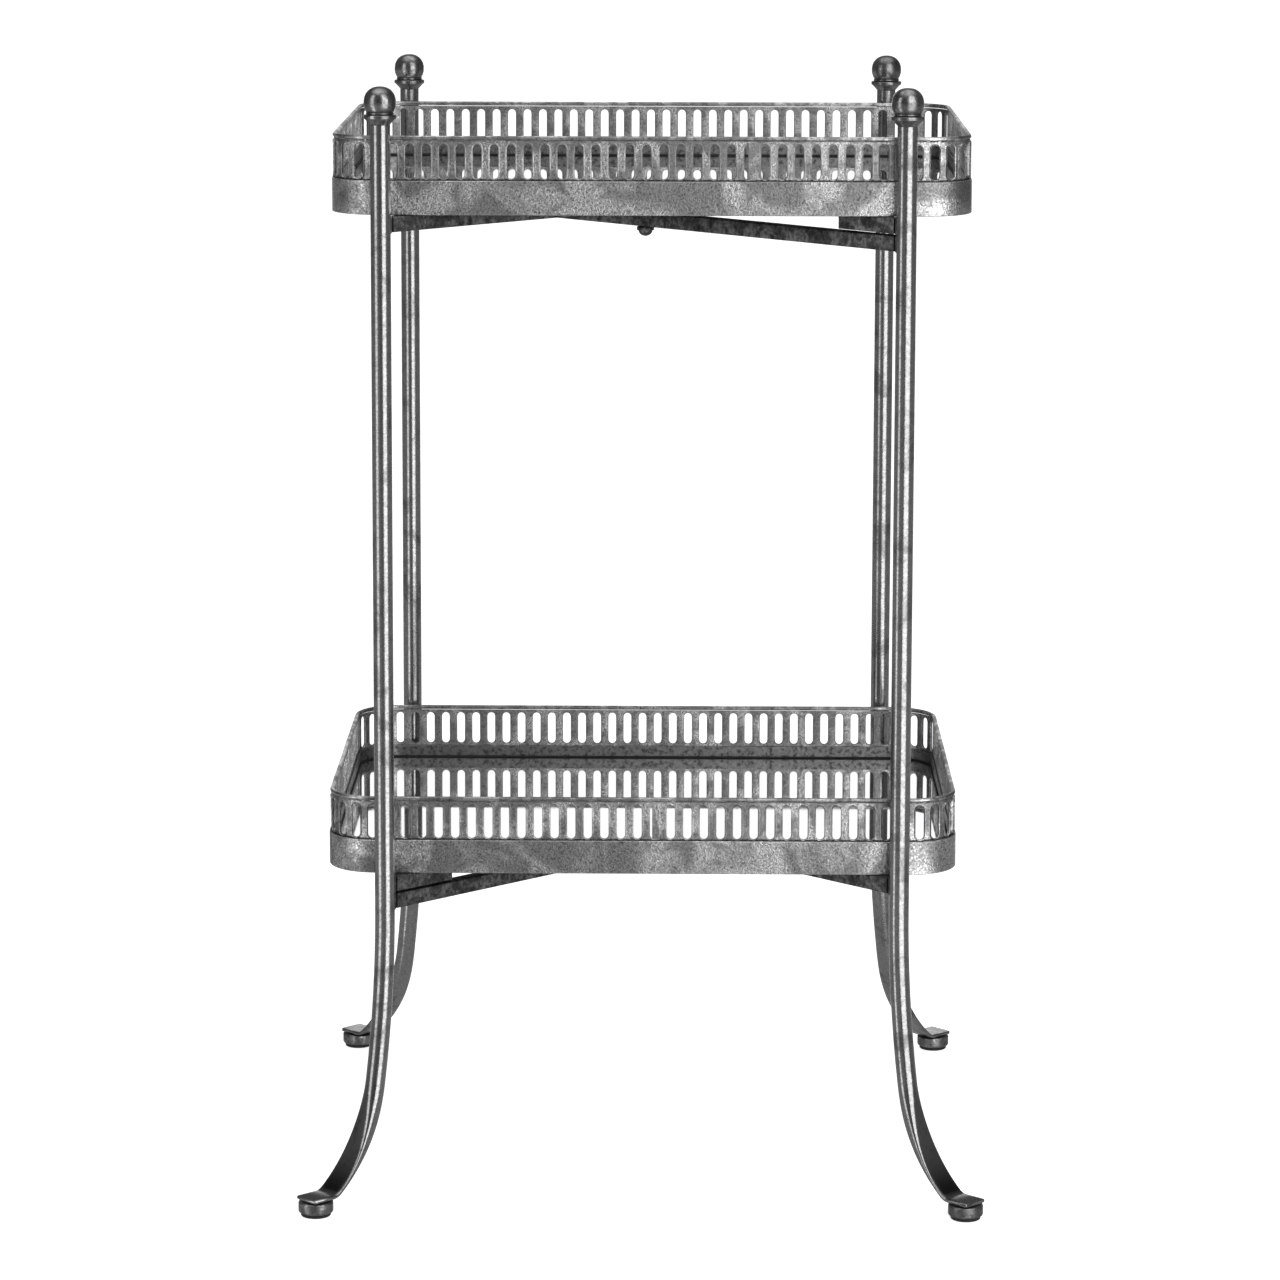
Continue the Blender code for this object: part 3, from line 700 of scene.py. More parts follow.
# ---------------------------------------------------------------------------
# Legs
# ---------------------------------------------------------------------------
def leg_path(toe_centre, top, toe_length):
    """Stations of a leg from the top: (outward, height, angle from vertical, flattening)."""
    outward = 0.0
    drop = 0.0
    angle = 0.0
    bends = []
    for (radius, reached), steps in zip(FOOT_BENDS, BEND_STEPS):
        reached = math.radians(reached)
        for step in range(1, steps + 1):
            now = angle + (reached - angle) * step / steps
            bends.append((
                outward + radius * (math.cos(angle) - math.cos(now)),
                drop + radius * (math.sin(now) - math.sin(angle)),
                now,
            ))
        outward, drop, angle = bends[-1]
    flat_from = math.radians(FOOT_BENDS[0][1])
    flat_to = math.radians(FOOT_BENDS[1][1])
    start = toe_centre + drop
    path = []
    for step in range(STRAIGHT_STEPS):
        path.append((0.0, top + (start - top) * step / STRAIGHT_STEPS, 0.0, 0.0))
    path.append((0.0, start, 0.0, 0.0))
    for out, fallen, now in bends:
        share = min(1.0, max(0.0, (now - flat_from) / (flat_to - flat_from)))
        path.append((out, start - fallen, now, share))
    path.append((outward + toe_length - TOE_EDGE, toe_centre, QUARTER_TURN, 1.0))
    path.append((outward + toe_length, toe_centre, QUARTER_TURN, 1.0))
    return path


def strap_painted_shade(angle):
    """Painted shade on the strap's outer face, standing in for the dark it reflects, fading to a quarter
    towards the flat toe.
    """
    shade_fade_from = math.radians(FOOT_BENDS[1][1])
    shade_fade = min(1.0, max(0.0, (angle - shade_fade_from) / (QUARTER_TURN - shade_fade_from)))
    return 1.0 - 0.75 * shade_fade


def leg_mesh(name, place, settings, sides=40):
    """Round tube that is pressed into a flat strap as it bends out to the floor."""
    low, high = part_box(name)
    axis = leg_axis(place)
    turn_out = Matrix.Rotation(outward_turn(place), 3, "Z")
    half_strap = settings.strap_thickness / 2
    path = leg_path(low.z + half_strap, high.z, settings.toe_length)
    bm = bmesh.new()
    strap_shade = bm.verts.layers.float.new("strap_shade")
    rows = []
    for index, (outward, height, angle, share) in enumerate(path):
        eased = share * share * (3 - 2 * share)
        half_width = settings.tube_radius + (settings.strap_width / 2 - settings.tube_radius) * eased
        half_thick = settings.tube_radius + (half_strap - settings.tube_radius) * eased
        power = 2.0 / (2.0 + 4.0 * eased)
        if index == len(path) - 1:
            half_width -= TOE_EASE_WIDE
            half_thick -= TOE_EASE_THICK
        across = Vector((math.cos(angle), 0, math.sin(angle)))
        row = []
        for side in range(sides):
            turn = 2 * math.pi * side / sides
            thick = half_thick * math.copysign(abs(math.cos(turn)) ** power, math.cos(turn))
            wide = half_width * math.copysign(abs(math.sin(turn)) ** power, math.sin(turn))
            spot = Vector((outward, wide, height)) + across * thick
            corner = bm.verts.new(axis + turn_out @ spot)
            # painted shade: darkens the outer face of the pressed strap
            corner[strap_shade] = eased ** 5 * max(0.0, math.cos(turn)) * strap_painted_shade(angle)
            row.append(corner)
        rows.append(row)
    return lofted_mesh(name + "_shell", bm, rows, sharp=50.0)


class TRAYTABLE_OT_legs(bpy.types.Operator):
    """Make the four bent legs"""

    bl_idname = "tray_table.legs"
    bl_label = "Legs"

    def execute(self, context):
        settings = context.scene.tray_table_legs
        for place, body in PLACES:
            node = "leg_" + place
            mesh = leg_mesh(node, place, settings)
            place_piece("tube_" + place, mesh, finish_for("leg"), body, "leg", node)
            dress_node("leg_insert_" + place, finish_for("insert"))
        return {"FINISHED"}


# ---------------------------------------------------------------------------
# Finials
# ---------------------------------------------------------------------------
def finial_profile(place, settings):
    """Ball with a slightly flat top, waist, thin seat ring and stud, from the top down."""
    low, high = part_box("finial_" + place)
    ball = (high.x - low.x) / 2
    collar_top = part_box("finial_collar_" + place)[1].z
    centre = high.z - ball
    points = [(0, high.z)]
    for step in range(1, 19):
        turn = QUARTER_TURN * step / 18
        out = ball * math.sin(turn) ** (2 / settings.squareness)
        up = ball * max(0.0, math.cos(turn)) ** (2 / settings.squareness)
        points.append((out, centre + up))
    last = math.degrees(math.acos(settings.neck_radius / ball))
    points += arc(0, centre, ball, 0, -last, 12)[1:]
    ring = settings.seat_height / 2
    points += arc(settings.seat_radius - ring, collar_top + GAP + ring, ring, 70, -90, 8)
    points.append((STUD_RADIUS, collar_top + GAP))
    points.append((STUD_RADIUS, low.z))
    points.append((0, low.z))
    return points


def collar_profile(place, tube_radius, settings):
    """Flange with rounded edges, a fine undercut and a slope in to the tube, as a closed ring."""
    low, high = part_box("finial_collar_" + place)
    reach = (high.x - low.x) / 2
    bore = STUD_RADIUS + GAP
    top_edge = 0.0009
    foot_edge = 0.0006
    foot = high.z - settings.flange_height
    undercut = reach - foot_edge - GAP
    points = [(bore, high.z), (settings.seat_radius, high.z)]
    points += arc(reach - top_edge, high.z - top_edge, top_edge, 80, 0, 6)
    points += arc(reach - foot_edge, foot + foot_edge, foot_edge, 0, -90, 5)
    points += [
        (undercut - 0.0003, foot + 0.0001),
        (undercut - 0.0002, foot - 0.0003),
        (tube_radius + 0.0004, low.z + 0.0005),
        (tube_radius, low.z),
        (bore, low.z),
    ]
    return points


def ring_mesh(name, profile, spot, sides):
    """Turned ring from a closed (radius, height) profile."""
    bm = bmesh.new()
    rows = [circle_row(bm, spot, radius, height, sides) for radius, height in profile]
    return lofted_mesh(name, bm, rows, sharp=45.0, ring=True)


class TRAYTABLE_OT_finials(bpy.types.Operator):
    """Make the ball finials and their collars"""

    bl_idname = "tray_table.finials"
    bl_label = "Finials"

    def execute(self, context):
        settings = context.scene.tray_table_finials
        sides = settings.turned_sides
        radius = context.scene.tray_table_legs.tube_radius
        for place, body in PLACES:
            spot = leg_axis(place)
            ball = turned_mesh("ball_" + place, finial_profile(place, settings), spot, sides)
            place_piece("ball_" + place, ball, finish_for("finial"), body, "finial", "finial_" + place)
            outline = collar_profile(place, radius, settings)
            ring = ring_mesh("collar_" + place, outline, spot, sides)
            node = "finial_collar_" + place
            place_piece("collar_" + place, ring, finish_for("finial"), body, "finial", node)
        return {"FINISHED"}


# ---------------------------------------------------------------------------
# Feet
# ---------------------------------------------------------------------------
def disc_profile(low, high):
    """Glide disc with a rounded top edge and a deeper round at its foot."""
    reach = (high.x - low.x) / 2
    top_edge = 0.0011
    foot_edge = 0.002
    points = [(0, high.z), (reach - 2 * top_edge, high.z)]
    points += arc(reach - top_edge, high.z - top_edge, top_edge, 90, 0, 7)
    points += arc(reach - foot_edge, low.z + foot_edge, foot_edge, 0, -80, 7)
    points += [(0, low.z)]
    return points


def pad_profile(low, high):
    """Rubber pad, rounded where it meets the floor."""
    reach = (high.x - low.x) / 2
    edge = (high.z - low.z) / 2
    points = [(0, high.z), (reach, high.z)]
    points += arc(reach - edge, low.z + edge, edge, 0, -90, 6)
    points += [(0, low.z)]
    return points


class TRAYTABLE_OT_feet(bpy.types.Operator):
    """Make the glides with their rubber pads"""

    bl_idname = "tray_table.feet"
    bl_label = "Feet"

    def execute(self, context):
        sides = context.scene.tray_table_finials.turned_sides
        for place, _ in PLACES:
            body = "glide_" + place
            disc_node = "glide_disc_" + place
            pad_node = "glide_pad_" + place
            low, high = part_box(disc_node)
            spot = Vector(((low.x + high.x) / 2, (low.y + high.y) / 2, 0))
            disc = turned_mesh("foot_disc_" + place, disc_profile(low, high), spot, sides)
            place_piece("foot_disc_" + place, disc, finish_for("glide"), body, "glide", disc_node)
            outline = pad_profile(*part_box(pad_node))
            pad = turned_mesh("foot_pad_" + place, outline, spot, sides)
            place_piece("foot_pad_" + place, pad, finish_for("pad"), body, "pad", pad_node)
            dress_node("glide_stud_" + place, finish_for("insert"))
        return {"FINISHED"}


# ---------------------------------------------------------------------------
# Braces, tray rests and pivots
# ---------------------------------------------------------------------------
def bar_mesh(name, start, end, top, turn, size, edge=0.0009):
    """Square bar along one direction, its edges rounded and its faces a little uneven."""
    half = size / 2
    corner = []
    for quarter, (across, up) in enumerate(((1, 1), (-1, 1), (-1, -1), (1, -1))):
        for step in range(4):
            swing = QUARTER_TURN * (quarter + step / 3)
            corner.append((
                across * (half - edge) + edge * math.cos(swing),
                up * (half - edge) + edge * math.sin(swing),
            ))
    steps = max(4, round((end - start) / 0.008))
    swing = Matrix.Rotation(turn, 3, "Z")
    bm = bmesh.new()
    rows = []
    for step in range(steps + 1):
        along = start + (end - start) * step / steps
        row = []
        for across, up in corner:
            spot = swing @ Vector((along, across, 0)) + Vector((0, 0, top - half + up))
            settle = 1.0 - 0.006 * (1 + noise.noise(spot * 60.0))
            level = Vector((0, 0, top - half + up * settle))
            row.append(bm.verts.new(swing @ Vector((along, across * settle, 0)) + level))
        rows.append(row)
    return lofted_mesh(name, bm, rows)


def weld_mesh(name, place, top, size, reach, tube_radius):
    """Weld bead where a bar meets its tube, hugging the tube and the bar."""
    axis = leg_axis(place)
    inward = Matrix.Rotation(outward_turn(place) + math.pi, 3, "Z")
    half = size / 2
    sides = 40
    bm = bmesh.new()
    rows = []
    levels = ((0.9, 1.0), (0.55, 0.45), (0.18, 0.16), (-0.05, 0.02))
    for grown, lifted in levels:
        row = []
        for side in range(sides):
            turn = 2 * math.pi * side / sides
            across = (half + reach * grown) * math.copysign(abs(math.cos(turn)) ** 0.4, math.cos(turn))
            up = (half + reach * grown) * math.copysign(abs(math.sin(turn)) ** 0.4, math.sin(turn))
            across = max(-tube_radius * 0.96, min(tube_radius * 0.96, across))
            surface = math.sqrt(tube_radius ** 2 - across ** 2)
            stand = surface + reach * (1 - lifted)
            ripple = 0.12 * reach * noise.noise(Vector((turn * 5, grown * 3, stand)))
            row.append(bm.verts.new(axis + inward @ Vector((stand + ripple, across, top - half + up))))
        rows.append(row)
    return lofted_mesh(name, bm, rows, sharp=60.0)


def leg_reach():
    return leg_axis("front_right").length


def frame_turn(body):
    """Angle about Z of a frame's bars."""
    return outward_turn("back_right" if body == "frame_a" else "front_right")


BRACES = (
    ("upper_brace_a", "frame_a"),
    ("upper_brace_b", "frame_b"),
    ("lower_brace_a", "frame_a"),
    ("lower_brace_b", "frame_b"),
)
TRAY_RESTS = (
    ("upper_tray_rest_front_right", "front_right", "frame_b"),
    ("upper_tray_rest_back_left", "back_left", "frame_b"),
    ("lower_tray_rest_front_left", "front_left", "frame_a"),
    ("lower_tray_rest_back_right", "back_right", "frame_a"),
)


def add_weld(name, place, body, top, size, settings):
    bead = weld_mesh(name, place, top, size, settings.weld_reach, settings.tube_radius)
    place_piece(name, bead, finish_for("brace"), body, "brace")


def add_brace(name, body, settings):
    """Bar from leg to leg with a weld at each end."""
    size = node_height(name)
    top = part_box(name)[1].z
    end = leg_reach() - settings.tube_radius - GAP
    mesh = bar_mesh(name + "_bar", -end, end, top, frame_turn(body), size)
    place_piece(name + "_bar", mesh, finish_for("brace"), body, "brace", name)
    for place in FRAME_LEGS[body]:
        add_weld(name + "_weld_" + place, place, body, top, size, settings)


def add_rest(name, place, body, settings):
    """Short bar on one leg with its weld."""
    size = node_height(name)
    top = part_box(name)[1].z
    near = settings.tube_radius + GAP
    start = leg_reach() - settings.rest_reach
    mesh = bar_mesh(name + "_bar", start, leg_reach() - near, top, outward_turn(place), size)
    place_piece(name + "_bar", mesh, finish_for("brace"), body, "brace", name)
    add_weld(name + "_weld", place, body, top, size, settings)


class TRAYTABLE_OT_braces(bpy.types.Operator):
    """Make the crossed braces, the tray rests and their welds"""

    bl_idname = "tray_table.braces"
    bl_label = "Braces"

    def execute(self, context):
        settings = context.scene.tray_table_legs
        for name, body in BRACES:
            add_brace(name, body, settings)
        for name, place, body in TRAY_RESTS:
            add_rest(name, place, body, settings)
        return {"FINISHED"}


def nut_mesh(name, spot, reach, low, high, sides=60):
    """Acorn nut: a hexagon skirt that runs into a dome."""
    skirt = high - 0.42 * (high - low)
    stages = [(high, 0.94), (high - 0.0006, 1.0), (skirt + 0.0006, 1.0), (skirt, 0.96)]
    bm = bmesh.new()
    rows = []
    for height, scale in stages:
        row = []
        for side in range(sides):
            turn = 2 * math.pi * side / sides
            within = (turn % (math.pi / 3)) - math.pi / 6
            flat = reach * math.cos(math.pi / 6) / math.cos(within)
            radius = min(flat, reach * 0.985) * scale
            out = Vector((math.cos(turn), math.sin(turn), 0)) * radius
            row.append(bm.verts.new(spot + out + Vector((0, 0, height))))
        rows.append(row)
    dome = reach * 0.80
    depth = skirt - low
    for step in range(9):
        turn = QUARTER_TURN * step / 9
        height = skirt - depth * math.sin(turn)
        rows.append(circle_row(bm, spot, dome * math.cos(turn), height, sides))
    grid(bm, rows)
    tip = bm.verts.new(spot + Vector((0, 0, low)))
    for side in range(sides):
        bm.faces.new((tip, rows[-1][side], rows[-1][(side + 1) % sides]))
    bm.faces.new(rows[0])
    bmesh.ops.recalc_face_normals(bm, faces=bm.faces)
    return finished_mesh(name, bm, 35.0)


class TRAYTABLE_OT_pivots(bpy.types.Operator):
    """Make the acorn nuts and dress the pivot bolts and washers"""

    bl_idname = "tray_table.pivots"
    bl_label = "Pivots"

    def execute(self, context):
        finish = finish_for("pivot")
        for level, body in (("upper", "frame_a"), ("lower", "frame_b")):
            low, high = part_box("pivot_nut_" + level)
            spot = Vector(((low.x + high.x) / 2, (low.y + high.y) / 2, 0))
            mesh = nut_mesh("acorn_nut_" + level, spot, (high.x - low.x) / 2, low.z, high.z)
            place_piece("acorn_nut_" + level, mesh, finish, body, "pivot", "pivot_nut_" + level)
            dress_node("pivot_bolt_" + level, finish)
            dress_node("pivot_washer_" + level, finish)
        return {"FINISHED"}


# ---------------------------------------------------------------------------
# Trays
# ---------------------------------------------------------------------------
def swept_edge_mesh(name, edge, profile, depth, spacing=0.006, corner_steps=18, sharp=40.0):
    """Closed section of (outward, height) points run round a tray, with hand-worked dents."""
    bm = bmesh.new()
    rows = []
    for along in edge.stations(spacing, corner_steps):
        spot, outward = edge.at(along)
        row = []
        for out, height in profile:
            place = spot + outward * out + Vector((0, 0, height))
            worked = dents(Vector((place.x, place.y, height * 1.5)), depth)
            row.append(bm.verts.new(place + outward * worked))
        rows.append(row)
    return lofted_mesh(name, bm, rows, sharp=sharp, ring=True)


def band_profile(low, high, thick, skin, soft=0.0005, steps=6):
    """Section of a band with eased edges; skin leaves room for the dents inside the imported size."""
    outer = -skin
    points = [(-thick, high - soft), (-thick + soft, high), (outer - soft, high)]
    for step in range(steps + 1):
        points.append((outer, high - soft + (low - high + 2 * soft) * step / steps))
    points += [(outer - soft, low), (-thick + soft, low), (-thick, low + soft)]
    return points


SEAM_RADIUS = 0.00072
SEAM_LUMP = 0.00036             # how much the dark bead swells and shrinks
SEAM_WANDER = 0.00012


def add_seam(tray, edge, height, sides=8):
    """Lumpy dark bead in the angle between band and gallery."""
    bm = bmesh.new()
    rows = []
    for along in edge.stations(0.0011, 56):
        spot, outward = edge.at(along)
        lump = noise.noise(Vector((spot.x * 420, spot.y * 420, 3.0)))
        wander = noise.noise(Vector((spot.x * 90, spot.y * 90, 9.0)))
        radius = SEAM_RADIUS + SEAM_LUMP * lump + SEAM_WANDER * wander
        row = []
        for side in range(sides):
            turn = 2 * math.pi * side / sides
            lift = height + 0.0002 + radius * 1.5 * math.sin(turn)
            out = radius * 0.8 * math.cos(turn)
            row.append(bm.verts.new(spot + outward * out + Vector((0, 0, lift))))
        rows.append(row)
    mesh = lofted_mesh(tray + "_seam", bm, rows, sharp=60.0, ring=True)
    place_piece(tray + "_seam", mesh, finish_for("seam"), tray, "band")


class TRAYTABLE_OT_bands(bpy.types.Operator):
    """Make the plain bands round the trays, with a dark seam bead on top"""

    bl_idname = "tray_table.bands"
    bl_label = "Bands"

    def execute(self, context):
        settings = context.scene.tray_table_trays
        thick = settings.band_thickness
        for tray in TRAYS:
            node = tray + "_band"
            low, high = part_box(node)
            edge = TrayEdge(tray, 0.0, settings.corner_radius)
            section = band_profile(low.z, high.z, thick, settings.unevenness * 1.5)
            mesh = swept_edge_mesh(tray + "_hoop", edge, section, settings.unevenness)
            place_piece(tray + "_hoop", mesh, finish_for("band"), tray, "band", node)
            seam = TrayEdge(tray, thick + 0.0002, settings.corner_radius)
            add_seam(tray, seam, high.z)
        return {"FINISHED"}


def slot_ring(half, low, high, grown):
    """Points round a slot grown by a margin: up the right side, over the top, down, and under."""
    reach = half + grown
    top = high - half
    bottom = low + half
    points = [(reach, bottom + (top - bottom) / 2)]
    for step in range(9):
        turn = math.pi * step / 8
        points.append((reach * math.cos(turn), top + reach * math.sin(turn)))
    points.append((-reach, bottom + (top - bottom) / 2))
    for step in range(9):
        turn = math.pi + math.pi * step / 8
        points.append((reach * math.cos(turn), bottom + reach * math.sin(turn)))
    return points


def cell_ring(half_pitch, low, high, top, bottom):
    """Matching points round a cell of the gallery, so that slot and cell join with plain quads."""
    middle = (top + bottom) / 2
    upper = (top + high) / 2
    lower = (bottom + low) / 2
    return [
        (half_pitch, middle),
        (half_pitch, top), (half_pitch, upper), (half_pitch, high),
        (half_pitch / 2, high), (0, high), (-half_pitch / 2, high),
        (-half_pitch, high), (-half_pitch, upper), (-half_pitch, top),
        (-half_pitch, middle),
        (-half_pitch, bottom), (-half_pitch, lower), (-half_pitch, low),
        (-half_pitch / 2, low), (0, low), (half_pitch / 2, low),
        (half_pitch, low), (half_pitch, lower), (half_pitch, bottom),
    ]


def gallery_mesh(name, tray, settings):
    """Pierced sheet: one cell for each slot, with a pressed lip, bent round the tray."""
    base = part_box(tray + "_band")[0].z
    band_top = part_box(tray + "_band")[1].z
    rim_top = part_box(tray + "_rim")[1].z
    low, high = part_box(tray + "_gallery")
    slot_low = band_top + settings.slot_above_band
    slot_high = rim_top - settings.slot_below_rim
    half = settings.slot_width / 2
    middle = GALLERY_INSET + settings.gallery_thickness / 2
    edge = TrayEdge(tray, middle, settings.corner_radius)
    count = round(edge.length / settings.slot_pitch)
    pitch = edge.length / count
    face = settings.gallery_thickness / 2
    margin = settings.lip_width + 0.0002
    cell_low = slot_low - margin
    cell_high = slot_high + margin
    lips = (
        (0.0, 0.45), (0.22, 0.9), (0.5, 1.0), (0.78, 0.55), (1.0, 0.0),
    )
    bm = bmesh.new()

    def vertex(centre, across, height, proud):
        spot, outward = edge.at(centre + across)
        return bm.verts.new(spot + outward * (face + proud) + Vector((0, 0, height)))

    for index in range(count):
        centre = pitch * (index + 0.5) + settings.slot_lead
        rows = []
        for share, raised in lips:
            ring = slot_ring(half, slot_low, slot_high, settings.lip_width * share)
            rows.append([vertex(centre, u, v, settings.lip_height * raised) for u, v in ring])
        frame_ring = cell_ring(pitch / 2, cell_low, cell_high, slot_high - half, slot_low + half)
        outer = [vertex(centre, u, v, 0.0) for u, v in frame_ring]
        rows.append(outer)
        grid(bm, rows)
        for heights in ((high.z, (cell_high + high.z) / 2, cell_high), (cell_low, base + 0.012, low.z)):
            for upper, lower in zip(heights, heights[1:]):
                stops = [pitch * (k / 4 - 0.5) for k in range(5)]
                above = [vertex(centre, u, upper, 0.0) for u in stops]
                below = [vertex(centre, u, lower, 0.0) for u in stops]
                grid(bm, [above, below], closed_columns=False)
    bmesh.ops.remove_doubles(bm, verts=bm.verts, dist=0.00002)
    bmesh.ops.recalc_face_normals(bm, faces=bm.faces)
    return finished_mesh(name, bm, 50.0)


class TRAYTABLE_OT_galleries(bpy.types.Operator):
    """Make the pierced galleries with their pressed slots"""

    bl_idname = "tray_table.galleries"
    bl_label = "Galleries"

    def execute(self, context):
        settings = context.scene.tray_table_trays
        for tray in TRAYS:
            mesh = gallery_mesh(tray + "_fretwork", tray, settings)
            node = tray + "_gallery"
            piece = place_piece(tray + "_fretwork", mesh, finish_for("gallery"), tray, "gallery", node)
            sheet = piece.modifiers.new("sheet", "SOLIDIFY")
            sheet.thickness = settings.gallery_thickness
            sheet.offset = -1.0
        return {"FINISHED"}


def strip_profile(low, high, thick, ease=0.0002):
    """Upright flat strip with eased edges, its outer face at zero, as (outward, height) points."""
    return [
        (0, low + ease), (0, high - ease), (-ease, high), (-thick + ease, high),
        (-thick, high - ease), (-thick, low + ease), (-thick + ease, low), (-ease, low),
    ]


def lap_mesh(name, edge, along, width, low, high, thick):
    """Small lapped end of the gallery strip, with one ragged side."""
    bm = bmesh.new()
    rows = []
    steps = 10
    for step in range(steps + 1):
        height = low + (high - low) * step / steps
        ragged = 0.0006 * noise.noise(Vector((height * 300, along * 40, 1.0)))
        row = []
        for across, out in ((0, 0), (width + ragged, 0), (width + ragged, thick), (0.0003, thick)):
            spot, outward = edge.at(along + across)
            row.append(bm.verts.new(spot + outward * out + Vector((0, 0, height))))
        rows.append(row)
    return lofted_mesh(name, bm, rows)


class TRAYTABLE_OT_liners(bpy.types.Operator):
    """Make the plain strips inside the galleries and the putty line along the mirrors"""

    bl_idname = "tray_table.liners"
    bl_label = "Liners"

    def execute(self, context):
        settings = context.scene.tray_table_trays
        inset = GALLERY_INSET + settings.gallery_thickness + GAP
        for tray in TRAYS:
            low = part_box(tray + "_mirror")[1].z + GAP
            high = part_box(tray + "_band")[1].z - 0.0005
            edge = TrayEdge(tray, inset, settings.corner_radius)
            strip = strip_profile(low, high, settings.liner_thickness)
            mesh = swept_edge_mesh(tray + "_liner", edge, strip, 0.00004)
            place_piece(tray + "_liner", mesh, finish_for("liner"), tray, "gallery")
            foot = TrayEdge(tray, inset + settings.liner_thickness + 0.0007, settings.corner_radius)
            bead = arc(0, low + 0.0004, 0.0006, 0, 360, 8)[:-1]
            line = swept_edge_mesh(tray + "_putty", foot, bead, 0.0001)
            place_piece(tray + "_putty", line, finish_for("putty"), tray, "board")
        return {"FINISHED"}


# Each tray's gallery closes with a lap on the front, this far from the middle
LAP_PLACES = {"upper_tray": 0.076, "lower_tray": 0.008}


class TRAYTABLE_OT_laps(bpy.types.Operator):
    """Make the lapped ends of the gallery strips"""

    bl_idname = "tray_table.laps"
    bl_label = "Laps"

    def execute(self, context):
        settings = context.scene.tray_table_trays
        edge_inset = GALLERY_INSET - GAP
        for tray, offset in LAP_PLACES.items():
            edge = TrayEdge(tray, edge_inset, settings.corner_radius)
            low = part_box(tray + "_band")[1].z + 0.0012
            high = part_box(tray + "_rim")[0].z - GAP
            along = edge.long_side / 2 + offset
            mesh = lap_mesh(tray + "_lap", edge, along, settings.lap_width, low, high, 0.0008)
            place_piece(tray + "_lap", mesh, finish_for("gallery"), tray, "gallery")
        return {"FINISHED"}


class TRAYTABLE_OT_rims(bpy.types.Operator):
    """Make the rolled rims on top of the galleries"""

    bl_idname = "tray_table.rims"
    bl_label = "Rims"

    def execute(self, context):
        settings = context.scene.tray_table_trays
        radius = settings.rim_radius
        middle = GALLERY_INSET + settings.gallery_thickness / 2
        for tray in TRAYS:
            node = tray + "_rim"
            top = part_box(node)[1].z
            edge = TrayEdge(tray, middle, settings.corner_radius)
            skin = settings.unevenness
            profile = arc(0, top - radius, radius - skin, 0, 360, 14)[:-1]
            mesh = swept_edge_mesh(tray + "_rail", edge, profile, settings.unevenness, spacing=0.004)
            place_piece(tray + "_rail", mesh, finish_for("rim"), tray, "rim", node)
        return {"FINISHED"}


def glass_mesh(name, tray, corner_radius, arris=0.0008):
    """Mirror plate with a small bevel round its top."""
    low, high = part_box(tray + "_mirror")
    inset = low.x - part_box(tray + "_band")[0].x
    edge = TrayEdge(tray, inset, corner_radius)
    bm = bmesh.new()
    rows = []
    for inward, height in ((0, low.z), (0, high.z - arris), (arris, high.z)):
        row = []
        for along in edge.stations(0.5, 18):
            spot, outward = edge.at(along)
            row.append(bm.verts.new(spot - outward * inward + Vector((0, 0, height))))
        rows.append(row)
    return lofted_mesh(name, bm, rows, sharp=20.0)


class TRAYTABLE_OT_bases(bpy.types.Operator):
    """Make the bevelled mirrors and dress the boards"""

    bl_idname = "tray_table.bases"
    bl_label = "Bases"

    def execute(self, context):
        settings = context.scene.tray_table_trays
        for tray in TRAYS:
            name = tray + "_looking_glass"
            mesh = glass_mesh(name, tray, settings.corner_radius)
            place_piece(name, mesh, finish_for("mirror"), tray, "mirror", tray + "_mirror")
            dress_node(tray + "_board", finish_for("board"))
        return {"FINISHED"}


# ---------------------------------------------------------------------------
# Stage
# ---------------------------------------------------------------------------
LENS = 134.81
LENS_SHIFT = -0.08
CAMERA_SPOT = (0.0308, -3.9469, 1.1542)
CAMERA_HEADING = 0.0088
CAMERA_DOWN = 0.16232
CAMERA_ROLL = 0.00239

# Soft boxes: spot, the point it faces, width, height and share of the side light
SOFT_BOXES = {
    "right_soft_box": ((0.94, -1.35, 1.15), (0.72, -0.375, 1.15), 1.35, 3.0, 1.0),
    "left_soft_box": ((-0.95, -0.75, 0.70), (-0.206, -0.2, 0.70), 0.42, 2.1, 0.65),
}
FLOOR_DROP = 0.0002             # the studio floor lies this far under the pads


def floor_finish(colour):
    finish, tree, shader = new_finish("studio_floor")
    grains = effect(tree, "leaf_grain", "Grain", Scale=3.0, Contrast=0.2)
    tone = mix_colour(tree, maths(tree, "MULTIPLY", grains, 0.02), rgba(colour), rgba(colour, 0.97))
    tree.links.new(tone, shader.inputs["Base Color"])
    shader.inputs["Roughness"].default_value = 0.9
    shader.inputs["Emission Color"].default_value = (1.0, 1.0, 1.0, 1.0)
    shader.inputs["Emission Strength"].default_value = 0.8
    return finish


def soft_box(name, spot, aim, width, height, radiance):
    """Upright soft box turned towards a point, unseen by the camera itself."""
    lamp = bpy.data.lights.new(name, "AREA")
    lamp.shape = "RECTANGLE"
    lamp.size = width
    lamp.size_y = height
    lamp.energy = radiance * math.pi * width * height
    made = bpy.data.objects.new(name, lamp)
    bpy.context.scene.collection.objects.link(made)
    made.location = spot
    made.rotation_euler = (Vector(aim) - Vector(spot)).to_track_quat("-Z", "Y").to_euler()
    made.visible_camera = False
    return made


